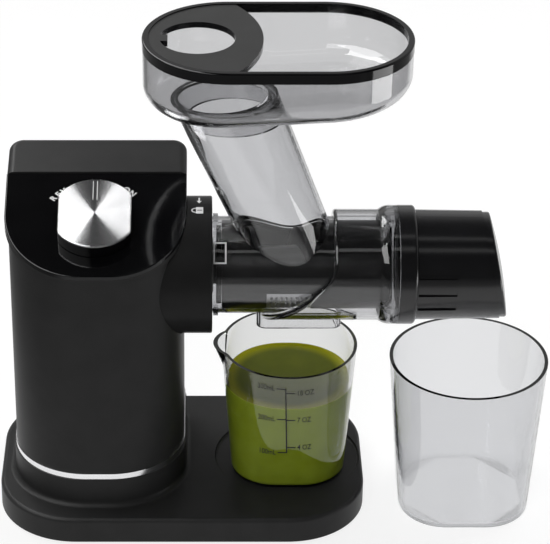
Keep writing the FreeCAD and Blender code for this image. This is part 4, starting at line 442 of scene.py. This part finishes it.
def natural_nylon():
    """Undyed nylon of the gears."""
    tones = ((0.62, 0.58, 0.46), (0.7, 0.66, 0.55))
    return solid_material("natural_nylon", tones, 0.45, (800, 0.01 * MM), specular=0.4)


def soft_black():
    """Rubber of the feet and the shaft seal."""
    grain = (1800, 0.03 * MM)
    return solid_material("soft_black", (grey(0.012), grey(0.018)), 0.75, grain, specular=0.25)


def silicone():
    """Pale silicone of the drum's seals."""
    tones = ((0.5, 0.5, 0.48), (0.58, 0.58, 0.56))
    return solid_material("silicone", tones, 0.5, (900, 0.02 * MM), specular=0.35)


def coated_board():
    """Green lacquered circuit board."""
    tones = ((0.01, 0.07, 0.025), (0.02, 0.11, 0.04))
    grain = (600, 0.02 * MM)
    return solid_material("coated_board", tones, 0.4, grain, specular=0.4, tone_scale=BOARD_TONE_SCALE)


# Inks, the white one also used for painted highlights, and juice with painted shade on its top

def white_print_and_highlight():
    """White ink, also used for painted highlights on the knob's pointer groove and round the stop block."""
    grain = (1500, 0.005 * MM)
    return solid_material("white_print_and_highlight", (grey(0.75), grey(0.82)), 0.5, grain, specular=0.4)


def dark_print():
    """Dark ink."""
    grain = (1500, 0.005 * MM)
    return solid_material("dark_print", (grey(0.01), grey(0.016)), 0.5, grain, specular=0.4)


def juice_material(name, tones, shine):
    """Cloudy juice."""
    material, shader = new_material(name)
    add_tone(material.node_tree, shader, tones, JUICE_TONE_SCALE)
    shader.inputs["Roughness"].default_value = JUICE_ROUGHNESS
    shader.inputs["Specular IOR Level"].default_value = shine
    shader.inputs["Subsurface Weight"].default_value = JUICE_SCATTER
    shader.inputs["Subsurface Radius"].default_value = JUICE_SCATTER_RADIUS
    shader.inputs["Subsurface Scale"].default_value = JUICE_SCATTER_SCALE
    return material


def add_rim(material):
    """Yellower band where the top of the juice meets the wall."""
    tree = material.node_tree
    base = tree.nodes["Principled BSDF"].inputs["Base Color"]
    place = tree.nodes.new("ShaderNodeTexCoord")
    away = tree.nodes.new("ShaderNodeVectorMath")
    away.operation = "DISTANCE"
    away.inputs[1].default_value = JUICE_TOP_MIDDLE
    band = tree.nodes.new("ShaderNodeMapRange")
    band.interpolation_type = "SMOOTHSTEP"
    band.inputs["From Min"].default_value = JUICE_RIM_BAND[0]
    band.inputs["From Max"].default_value = JUICE_RIM_BAND[1]
    mix = tree.nodes.new("ShaderNodeMixRGB")
    mix.inputs["Color2"].default_value = (*JUICE_RIM_COLOUR, 1)
    tree.links.new(place.outputs["Generated"], away.inputs[0])
    tree.links.new(away.outputs["Value"], band.inputs["Value"])
    tree.links.new(band.outputs["Result"], mix.inputs["Fac"])
    tree.links.new(base.links[0].from_socket, mix.inputs["Color1"])
    tree.links.new(mix.outputs["Color"], base)


def green_juice():
    """Green body of the juice, seen through the cup."""
    tones = ((0.3, 0.375, 0.024), (0.34, 0.42, 0.034))
    return juice_material("green_juice", tones, 0.02)


def juice_top_painted_shade():
    """Top of the juice with painted shade, much darker than its body, and its yellow rim."""
    tones = ((0.08, 0.095, 0.008), (0.095, 0.11, 0.01))
    material = juice_material("juice_top_painted_shade", tones, 0.1)
    add_rim(material)
    return material


# Materials on the CAD nodes

def dress(material, names):
    """Give CAD nodes one material."""
    for name in names:
        mesh = NODES[name].data
        mesh.materials.clear()
        mesh.materials.append(material)


def paint_lid_cover(material):
    """The lid's flat cover plate, just below its rim, has its own finish."""
    mesh = NODES["hopper_lid"].data
    mesh.materials.append(material)
    least, most = COVER_DEPTHS
    for polygon in mesh.polygons:
        below_rim = least < LID_TOP - polygon.center.z < most
        if below_rim and polygon.normal.z > COVER_LEVEL:
            polygon.material_index = 1


def dress_outside():
    """Materials of the pieces that show."""
    dress(matt_black(), ["tower_shell", "base_plate", "bottom_cover", "cord_gland"])
    dress(satin_black(), ["drum_socket"])
    dress(gloss_black(), ["control_panel", "knob_body", "hopper_lid"])
    paint_lid_cover(lid_satin())
    dress(cap_black(), ["end_cap"])
    dress(inner_black(), ["strainer_frame", "auger", "rotary_switch"])
    dress(smoky_plastic(), ["pulp_cup"])
    dress(drum_plastic(), ["juicing_drum"])
    dress(tray_plastic(), ["hopper_tray"])
    dress(clear_plastic(), ["juice_cup"])
    dress(bright_trim(), ["trim_ring"])
    dress(spun_aluminium(), ["knob_face"])


def dress_inside():
    """Materials of the drive, the fixings, the seals and the strainer mesh."""
    shafts = ["drive_shaft", "motor_shaft", "motor_pinion", "idler_pin", "switch_spindle"]
    dress(steel(), shafts + ["switch_nut", "strainer_mesh"])
    dress(zinc_screws(), ["cover_screws", "tower_screws", "gearbox_screws", "socket_screws", "motor_screws"])
    dress(motor_can(), ["motor"])
    dress(pressed_sheet(), ["gearbox_back_plate", "gearbox_front_plate", "gearbox_spacers"])
    dress(bush_brass(), ["drive_bush_back", "drive_bush_front"])
    dress(natural_nylon(), ["output_gear", "idler_gear"])
    dress(soft_black(), ["base_feet", "shaft_seal"])
    dress(silicone(), ["drum_seal", "cap_seal"])
    dress(coated_board(), ["control_board"])


# Meshes

def mesh_object(name, points, faces, material):
    """A mesh object in the scene with one material."""
    mesh = bpy.data.meshes.new(name)
    mesh.from_pydata([tuple(point) for point in points], [], faces)
    mesh.update()
    mesh.materials.append(material)
    made = bpy.data.objects.new(name, mesh)
    bpy.context.scene.collection.objects.link(made)
    return made


def mesh_piece(name, points, faces, material, body):
    """A mesh object that moves with a body."""
    piece = mesh_object(name, points, faces, material)
    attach(piece, body)
    return piece


def print_and_highlight_mark(name, points, faces, material, body):
    """A flat mark that moves with a body, its ink a little thick; it carries print and also painted
    highlights.
    """
    piece = mesh_piece(name, points, faces, material, body)
    ink = piece.modifiers.new("ink", "SOLIDIFY")
    ink.thickness = PRINT_THICKNESS
    ink.offset = 1.0


def ribbon_faces(steps):
    """Faces of a ribbon whose points go in pairs along it."""
    return [(2 * step, 2 * step + 1, 2 * step + 3, 2 * step + 2) for step in range(steps)]


def tube_faces(levels, sides):
    """Faces of closed rings stacked one on another, with both ends closed."""
    faces = []
    for low in range(0, (levels - 1) * sides, sides):
        high = low + sides
        for side in range(sides):
            after = (side + 1) % sides
            faces.append((low + side, low + after, high + after, high + side))
    last = (levels - 1) * sides
    faces.append(tuple(range(last, last + sides)))
    faces.append(tuple(reversed(range(sides))))
    return faces


def level_corners(across, along, height):
    """Corners of a level rectangle from its ends across and along."""
    left, right = across
    front, back = along
    return [(left, front, height), (right, front, height), (right, back, height), (left, back, height)]


def flat_text(words, size, align, boldness):
    """Points and faces of words lying in a plane, from the plain letter shapes made a little bolder."""
    curve = bpy.data.curves.new("letters", "FONT")
    curve.body = words
    curve.size = size
    curve.align_x = align
    curve.align_y = "CENTER"
    curve.resolution_u = LETTER_CURVE_STEPS
    curve.offset = size * boldness
    carrier = bpy.data.objects.new("letters", curve)
    bpy.context.scene.collection.objects.link(carrier)
    bpy.context.view_layer.update()
    shape = carrier.to_mesh()
    points = [vertex.co.copy() for vertex in shape.vertices]
    faces = [tuple(polygon.vertices) for polygon in shape.polygons]
    carrier.to_mesh_clear()
    bpy.data.objects.remove(carrier)
    bpy.data.curves.remove(curve)
    return points, faces


def node_tree_of(name):
    """Search tree over a CAD node's triangles."""
    mesh = NODES[name].data
    mesh.calc_loop_triangles()
    points = [vertex.co.copy() for vertex in mesh.vertices]
    triangles = [tuple(triangle.vertices) for triangle in mesh.loop_triangles]
    return BVHTree.FromPolygons(points, triangles)


# Marks on the panel and the knob

def panel_point(along, up, lift):
    """A place on the slanted panel, counted from the knob's centre."""
    return KNOB_PLACE + RIGHTWARDS * along + PANEL_UP * up + PANEL_NORMAL * lift


def panel_letter(letter, degrees, material):
    """A letter on the panel, its head away from the knob."""
    points, faces = flat_text(letter, PANEL_LETTER_SIZE, "CENTER", PANEL_BOLDNESS)
    spin = Matrix.Rotation(math.radians(degrees - 90), 3, "Z")
    placed = []
    for point in points:
        turned = spin @ (point + Vector((0, PANEL_ARC_R, 0)))
        placed.append(panel_point(turned.x, turned.y, PRINT_LIFT))
    print_and_highlight_mark("panel_letter_" + letter, placed, faces, material, "stand")


def panel_marks(material):
    """REV and ON on an arc round the knob."""
    for letter, degrees in PANEL_LETTERS:
        panel_letter(letter, degrees, material)


def knob_pointer_highlights(material):
    """Painted highlights: two fine white lines where light catches the edges of the pointer groove on the
    knob's face.
    """
    points = []
    for side in (-1, 1):
        for along in (POINTER_HALF, POINTER_HALF + POINTER_HIGHLIGHT_WIDTH):
            for up in POINTER_ENDS:
                points.append(panel_point(side * along, up, KNOB_HEIGHT + PRINT_LIFT))
    faces = [(0, 2, 3, 1), (4, 6, 7, 5)]
    print_and_highlight_mark("knob_pointer_highlights", points, faces, material, "knob")


# Marks on the drum socket and the drum

def on_collar(along, back):
    """A place on the drum socket's rim: along the axis, and back over its top."""
    angle = back / SOCKET_R
    radius = SOCKET_R + PRINT_LIFT
    return Vector((along, radius * math.sin(angle), DRIVE_Z + radius * math.cos(angle)))


def collar_arrow(material):
    """White arrow that points to the front."""
    neck = ARROW_TIP + ARROW_HEAD
    outline = [(-ARROW_STEM, ARROW_TAIL), (-ARROW_STEM, neck), (-ARROW_HALF, neck), (0, ARROW_TIP)]
    outline += [(ARROW_HALF, neck), (ARROW_STEM, neck), (ARROW_STEM, ARROW_TAIL)]
    points = [on_collar(ARROW_X + along, back) for along, back in outline]
    stem = (0, 1, 5, 6)
    head = (2, 3, 4)
    print_and_highlight_mark("collar_arrow", points, [stem, head], material, "stand")


def lock_body(left, right):
    """Patches of the padlock's body round its keyhole slot: ends along the axis, then across."""
    half = LOCK_WIDTH / 2
    slot = LOCK_LINE / 2
    sides = [(left, right, -half, -slot), (left, right, slot, half)]
    ends = [(left, left + LOCK_LINE, -slot, slot), (right - LOCK_LINE, right, -slot, slot)]
    return sides + ends


def lock_shackle(left):
    """Outer and inner points in pairs along the padlock's half-round shackle."""
    reach = LOCK_LENGTH - LOCK_BODY
    half = LOCK_WIDTH / 2 - LOCK_LINE
    pairs = []
    for step in range(LOCK_ARC_STEPS + 1):
        angle = math.pi * (step / LOCK_ARC_STEPS - 0.5)
        for shrink in (0, LOCK_LINE):
            pairs.append((left - (reach - shrink) * math.cos(angle), (half - shrink) * math.sin(angle)))
    return pairs


def collar_lock(material):
    """White closed padlock lying on its side, its shackle towards the tower and a slot for a keyhole."""
    right = LOCK_X + LOCK_LENGTH / 2
    left = right - LOCK_BODY
    flat = []
    faces = []
    for start, end, low, high in lock_body(left, right):
        faces.append(tuple(range(len(flat), len(flat) + 4)))
        flat += [(start, low), (end, low), (end, high), (start, high)]
    first = len(flat)
    flat += lock_shackle(left)
    for low in range(first, first + 2 * LOCK_ARC_STEPS, 2):
        faces.append((low, low + 2, low + 3, low + 1))
    points = [on_collar(along, LOCK_BACK + across) for along, across in flat]
    print_and_highlight_mark("collar_lock", points, faces, material, "stand")


def block_edge(inset):
    """Points in pairs over the stop block's outer face, moved in from its edge."""
    first, last = BLOCK_ANGLES
    turn = inset / BLOCK_R
    pairs = []
    for step in range(BLOCK_STEPS + 1):
        angle = first + turn + (last - first - 2 * turn) * step / BLOCK_STEPS
        across = BLOCK_R * math.cos(angle)
        up = DRIVE_Z + BLOCK_R * math.sin(angle)
        pairs.append(Vector((BLOCK_BACK_X + inset, across, up)))
        pairs.append(Vector((BLOCK_BACK_X + BLOCK_LENGTH - inset, across, up)))
    return pairs


def stop_block_painted_highlight(material):
    """Painted highlight: a white frame round the stop block on the drum's back end, where light catches its
    moulded edges.
    """
    outer = block_edge(0)
    inner = block_edge(BLOCK_HIGHLIGHT_WIDTH)
    count = len(outer)
    faces = [(0, 1, count + 1, count), (count - 2, count - 1, 2 * count - 1, 2 * count - 2)]
    for low in range(count - 2):
        faces.append((low, low + 2, count + low + 2, count + low))
    print_and_highlight_mark("stop_block_painted_highlight", outer + inner, faces, material, "drum")


# Juice

def cup_wall_ring(tree, z):
    """Points where a level plane meets the cup's inner wall, pushed a little into the wall."""
    centre = Vector((CUP_X, 0, z))
    ring = []
    for side in range(JUICE_SIDES):
        angle = 2 * math.pi * side / JUICE_SIDES
        way = Vector((math.cos(angle), math.sin(angle), 0))
        *_, reach = tree.ray_cast(centre, way)
        ring.append(centre + way * (reach + JUICE_SINK))
    return ring


def meniscus_ring(rim, share):
    """A ring of the juice's top, a share of the way from the wall to where the top is level."""
    centre = Vector((CUP_X, 0, JUICE_TOP))
    rise = Vector((0, 0, MENISCUS_RISE * (1 - share) ** 2))
    ring = []
    for point in rim:
        flat = Vector((point.x, point.y, JUICE_TOP))
        inward = (centre - flat).normalized()
        ring.append(flat + inward * (JUICE_SINK + MENISCUS_REACH * share) + rise)
    return ring


def juice_rings(tree):
    """Rings of the juice from the cup's floor up its wall, over the raised rim and in to the level top."""
    floor_hit, *_ = tree.ray_cast(Vector((CUP_X, 0, JUICE_TOP)), DOWNWARDS)
    bottom = floor_hit.z + JUICE_SINK
    rings = []
    for step in range(JUICE_STEPS + 1):
        share = (step / JUICE_STEPS) ** JUICE_STEP_POWER
        rings.append(cup_wall_ring(tree, bottom + (JUICE_TOP - bottom) * share))
    rim = cup_wall_ring(tree, JUICE_TOP + MENISCUS_RISE)
    rings.append(rim)
    for share in MENISCUS_SHARES:
        rings.append(meniscus_ring(rim, share))
    return rings


def juice(body_material, shaded_top_material):
    """Green juice that fills the cup's inside up to its level, with painted shade on top: a darker material
    there.
    """
    rings = juice_rings(node_tree_of("juice_cup"))
    points = [point for ring in rings for point in ring]
    faces = tube_faces(len(rings), JUICE_SIDES)
    piece = mesh_piece("green_juice", points, faces, body_material, "juice_cup")
    piece.data.materials.append(shaded_top_material)
    for polygon in piece.data.polygons:
        polygon.use_smooth = len(polygon.vertices) == 4
        # The top faces take the darker material: painted shade.
        if polygon.center.z > JUICE_TOP - SHADED_TOP_MARGIN and polygon.normal.z > 0:
            polygon.material_index = 1


# Scale on the juice cup

def pressed_on_cup(tree, along, z):
    """The place on the cup's front wall seen from the front, lifted by the ink."""
    hit, *_ = tree.ray_cast(Vector((along, FRONT_OF_CUP_Y, z)), BACKWARDS)
    return hit - BACKWARDS * PRINT_LIFT


def scale_x(z):
    """Where the scale's upright line, which leans a little, stands at a height."""
    share = (z - SCALE_LOW[1]) / (SCALE_HIGH[1] - SCALE_LOW[1])
    return CUP_X + SCALE_LOW[0] + (SCALE_HIGH[0] - SCALE_LOW[0]) * share


def cup_line(tree, material):
    """The scale's upright line."""
    half = SCALE_LINE / 2
    length = SCALE_HIGH[1] - SCALE_LOW[1] + SCALE_LINE
    points = []
    for step in range(SCALE_LINE_STEPS + 1):
        z = SCALE_LOW[1] - half + length * step / SCALE_LINE_STEPS
        points.append(pressed_on_cup(tree, scale_x(z) - half, z))
        points.append(pressed_on_cup(tree, scale_x(z) + half, z))
    print_and_highlight_mark("scale_line", points, ribbon_faces(SCALE_LINE_STEPS), material, "juice_cup")


def cup_tick(tree, name, left, right, z, material):
    """A level tick of the scale."""
    half = SCALE_LINE / 2
    points = []
    for step in range(SCALE_TICK_STEPS + 1):
        along = left + (right - left) * step / SCALE_TICK_STEPS
        points.append(pressed_on_cup(tree, along, z + half))
        points.append(pressed_on_cup(tree, along, z - half))
    print_and_highlight_mark(name, points, ribbon_faces(SCALE_TICK_STEPS), material, "juice_cup")


def cup_words(tree, name, words, along, z, align, material):
    """Printed words on the cup's wall."""
    points, faces = flat_text(words, SCALE_LETTER, align, SCALE_BOLDNESS)
    placed = [pressed_on_cup(tree, along + point.x * SCALE_SQUEEZE, z + point.y) for point in points]
    print_and_highlight_mark(name, placed, faces, material, "juice_cup")


def cup_mark(tree, words, z, side, align, material):
    """A tick with its words on the left (-1) or right (1) of the upright line."""
    near = scale_x(z) + side * SCALE_LINE / 2
    far = scale_x(z) + side * SCALE_TICK
    plain = words.replace(" ", "_")
    cup_tick(tree, "scale_tick_" + plain, min(near, far), max(near, far), z, material)
    cup_words(tree, "scale_words_" + plain, words, far + side * SCALE_WORD_GAP, z, align, material)


def cup_scale(material):
    """Printed scale on the cup's front: one upright line, ticks and words on both sides."""
    tree = node_tree_of("juice_cup")
    cup_line(tree, material)
    for words, z in SCALE_LEFT:
        cup_mark(tree, words, z, -1, "RIGHT", material)
    for words, z in SCALE_RIGHT:
        cup_mark(tree, words, z, 1, "LEFT", material)


# Floor and surround

def math_node(tree, operation, first, second):
    """One sum on two values, each a socket or a number."""
    node = tree.nodes.new("ShaderNodeMath")
    node.operation = operation
    for socket, value in zip(node.inputs, (first, second)):
        if isinstance(value, (int, float)):
            socket.default_value = value
        else:
            tree.links.new(value, socket)
    return node.outputs["Value"]


def near_middle(tree, place, middle, half):
    """1 within half of the middle, falling to 0 over the sweep's soft edge."""
    away = math_node(tree, "ABSOLUTE", math_node(tree, "SUBTRACT", place, middle), 0.0)
    fall = tree.nodes.new("ShaderNodeMapRange")
    fall.inputs["From Min"].default_value = half
    fall.inputs["From Max"].default_value = half + SWEEP_EDGE
    fall.inputs["To Min"].default_value = 1.0
    fall.inputs["To Max"].default_value = 0.0
    tree.links.new(away, fall.inputs["Value"])
    return fall.outputs["Result"]


def floor_glow(tree):
    """White to the eye everywhere; mirrors and clear plastics see a white sweep with a dim room round it."""
    places = tree.nodes.new("ShaderNodeTexCoord")
    split = tree.nodes.new("ShaderNodeSeparateXYZ")
    tree.links.new(places.outputs["Object"], split.inputs["Vector"])
    across = near_middle(tree, split.outputs["X"], SWEEP_MIDDLE[0], SWEEP_HALF[0])
    along = near_middle(tree, split.outputs["Y"], SWEEP_MIDDLE[1], SWEEP_HALF[1])
    sweep = math_node(tree, "MAXIMUM", math_node(tree, "MULTIPLY", across, along), SWEEP_BEYOND)
    path = tree.nodes.new("ShaderNodeLightPath")
    seen = math_node(tree, "MAXIMUM", sweep, path.outputs["Is Camera Ray"])
    return math_node(tree, "MULTIPLY", seen, FLOOR_GLOW)


def floor():
    """Plain pale floor that keeps a soft shadow."""
    material, shader = new_material("floor")
    tree = material.node_tree
    shader.inputs["Base Color"].default_value = (*grey(FLOOR_SHADE), 1)
    shader.inputs["Roughness"].default_value = 1.0
    shader.inputs["Specular IOR Level"].default_value = 0.0
    shader.inputs["Emission Color"].default_value = (1, 1, 1, 1)
    tree.links.new(floor_glow(tree), shader.inputs["Emission Strength"])
    ends = (-FLOOR_HALF, FLOOR_HALF)
    plane = mesh_object("floor", level_corners(ends, ends, 0), [(0, 1, 2, 3)], material)


def surround_tone(tree, height):
    """Grey of the surround by the height that a direction looks to, from -1 to 1."""
    ramp = tree.nodes.new("ShaderNodeValToRGB")
    elements = ramp.color_ramp.elements
    while len(elements) < len(WORLD_RAMP):
        elements.new(0.5)
    for element, (place, level) in zip(elements, WORLD_RAMP):
        element.position = place
        element.color = (*grey(level), 1)
    half = math_node(tree, "ADD", math_node(tree, "MULTIPLY", height, 0.5), 0.5)
    tree.links.new(half, ramp.inputs["Fac"])
    return ramp.outputs["Color"]


def surround_strength(tree, depth):
    """Full strength behind the machine, falling to a small share on the camera's side."""
    turn = tree.nodes.new("ShaderNodeMapRange")
    turn.inputs["From Min"].default_value = FRONT_TURN[0]
    turn.inputs["From Max"].default_value = FRONT_TURN[1]
    turn.inputs["To Min"].default_value = FRONT_SHARE
    tree.links.new(depth, turn.inputs["Value"])
    return turn.outputs["Result"]


def world():
    """Studio surround: pale behind the machine, dark overhead and on the camera's side."""
    surround = bpy.data.worlds.new("studio")
    bpy.context.scene.world = surround
    surround.use_nodes = True
    tree = surround.node_tree
    background = tree.nodes["Background"]
    places = tree.nodes.new("ShaderNodeTexCoord")
    split = tree.nodes.new("ShaderNodeSeparateXYZ")
    tree.links.new(places.outputs["Generated"], split.inputs["Vector"])
    tree.links.new(surround_tone(tree, split.outputs["Z"]), background.inputs["Color"])
    tree.links.new(surround_strength(tree, split.outputs["Y"]), background.inputs["Strength"])


# Lights and white panels

def softbox(name, place, aim, size, power):
    """Square area light turned to a point; shiny surfaces don't mirror it."""
    light = bpy.data.lights.new(name, "AREA")
    light.shape = "SQUARE"
    light.size = size
    light.energy = power
    lamp = bpy.data.objects.new(name, light)
    bpy.context.scene.collection.objects.link(lamp)
    lamp.location = place
    lamp.rotation_euler = (aim - place).to_track_quat("-Z", "Y").to_euler()
    lamp.visible_glossy = False


def side_softboxes():
    """A softbox on each side, a little behind the machine."""
    across, along, up = SIDE_LIGHT_WAY
    for name, side in (("left_softbox", -1), ("right_softbox", 1)):
        way = Vector((side * across, along, up)).normalized()
        softbox(name, KNOB_PLACE + way * SIDE_LIGHT_REACH, KNOB_PLACE, SIDE_LIGHT_SIZE, SIDE_LIGHT_POWER)


def white_panel(name, corners, faces, glow):
    """White panel that only mirroring surfaces see."""
    material, shader = new_material(name)
    shader.inputs["Base Color"].default_value = (0, 0, 0, 1)
    shader.inputs["Specular IOR Level"].default_value = 0.0
    shader.inputs["Emission Color"].default_value = (1, 1, 1, 1)
    shader.inputs["Emission Strength"].default_value = glow
    panel = mesh_object(name, corners, faces, material)
    panel.visible_camera = False
    panel.visible_diffuse = False
    panel.visible_transmission = False
    panel.visible_shadow = False


def sector_point(degrees, tilt):
    """Where the knob's face, tilted a little towards an angle of the panel, would mirror the eye to."""
    turn = math.radians(degrees)
    lean = math.radians(tilt)
    towards = RIGHTWARDS * math.cos(turn) + PANEL_UP * math.sin(turn)
    facing = PANEL_NORMAL * math.cos(lean) + towards * math.sin(lean)
    eye = (CAMERA_PLACE - KNOB_PLACE).normalized()
    return KNOB_PLACE + (2 * facing.dot(eye) * facing - eye) * SECTOR_REACH


def glow_sector():
    """Overhead panel shaped so that the turned face of the knob shows it as one white sector."""
    first, last = SECTOR_ANGLES
    corners = []
    for step in range(SECTOR_STEPS + 1):
        degrees = first + (last - first) * step / SECTOR_STEPS
        for tilt in SECTOR_TILTS:
            corners.append(sector_point(degrees, tilt))
    white_panel("left_sector", corners, ribbon_faces(SECTOR_STEPS), SECTOR_GLOW)


def overhead_strips():
    """Level panels overhead."""
    for name, across, along, height, glow in STRIPS:
        white_panel(name, level_corners(across, along, height), [(0, 1, 2, 3)], glow)


def front_board():
    """Low bright board on the floor at the right."""
    first, last = BOARD_FOOT
    corners = [(*first, 0), (*last, 0), (*last, BOARD_HEIGHT), (*first, BOARD_HEIGHT)]
    white_panel("front_board", corners, [(0, 1, 2, 3)], BOARD_GLOW)


def lights():
    """Softboxes at the sides and in front, and the white panels that shiny surfaces mirror."""
    side_softboxes()
    glow_sector()
    overhead_strips()
    front_board()
    softbox("front_softbox", FRONT_LIGHT_PLACE, FRONT_LIGHT_AIM, FRONT_LIGHT_SIZE, FRONT_LIGHT_POWER)


def camera():
    """Camera in front of the machine and above it, looking down."""
    data = bpy.data.cameras.new("camera")
    data.lens = CAMERA_LENS
    data.sensor_width = CAMERA_SENSOR
    data.shift_x = CAMERA_SHIFT
    eye = bpy.data.objects.new("camera", data)
    bpy.context.scene.collection.objects.link(eye)
    eye.location = CAMERA_PLACE
    eye.rotation_euler = (CAMERA_TILT, 0, 0)
    bpy.context.scene.camera = eye


# Everything in turn

dress_outside()
dress_inside()
WHITE_INK_AND_HIGHLIGHT = white_print_and_highlight()
panel_marks(WHITE_INK_AND_HIGHLIGHT)
# Painted highlights on the edges of the knob's pointer groove.
knob_pointer_highlights(WHITE_INK_AND_HIGHLIGHT)
collar_arrow(WHITE_INK_AND_HIGHLIGHT)
collar_lock(WHITE_INK_AND_HIGHLIGHT)
juice(green_juice(), juice_top_painted_shade())
# Painted highlight round the stop block's edges.
stop_block_painted_highlight(WHITE_INK_AND_HIGHLIGHT)
cup_scale(dark_print())
floor()
world()
lights()
camera()
bpy.context.scene.view_settings.view_transform = "Standard"
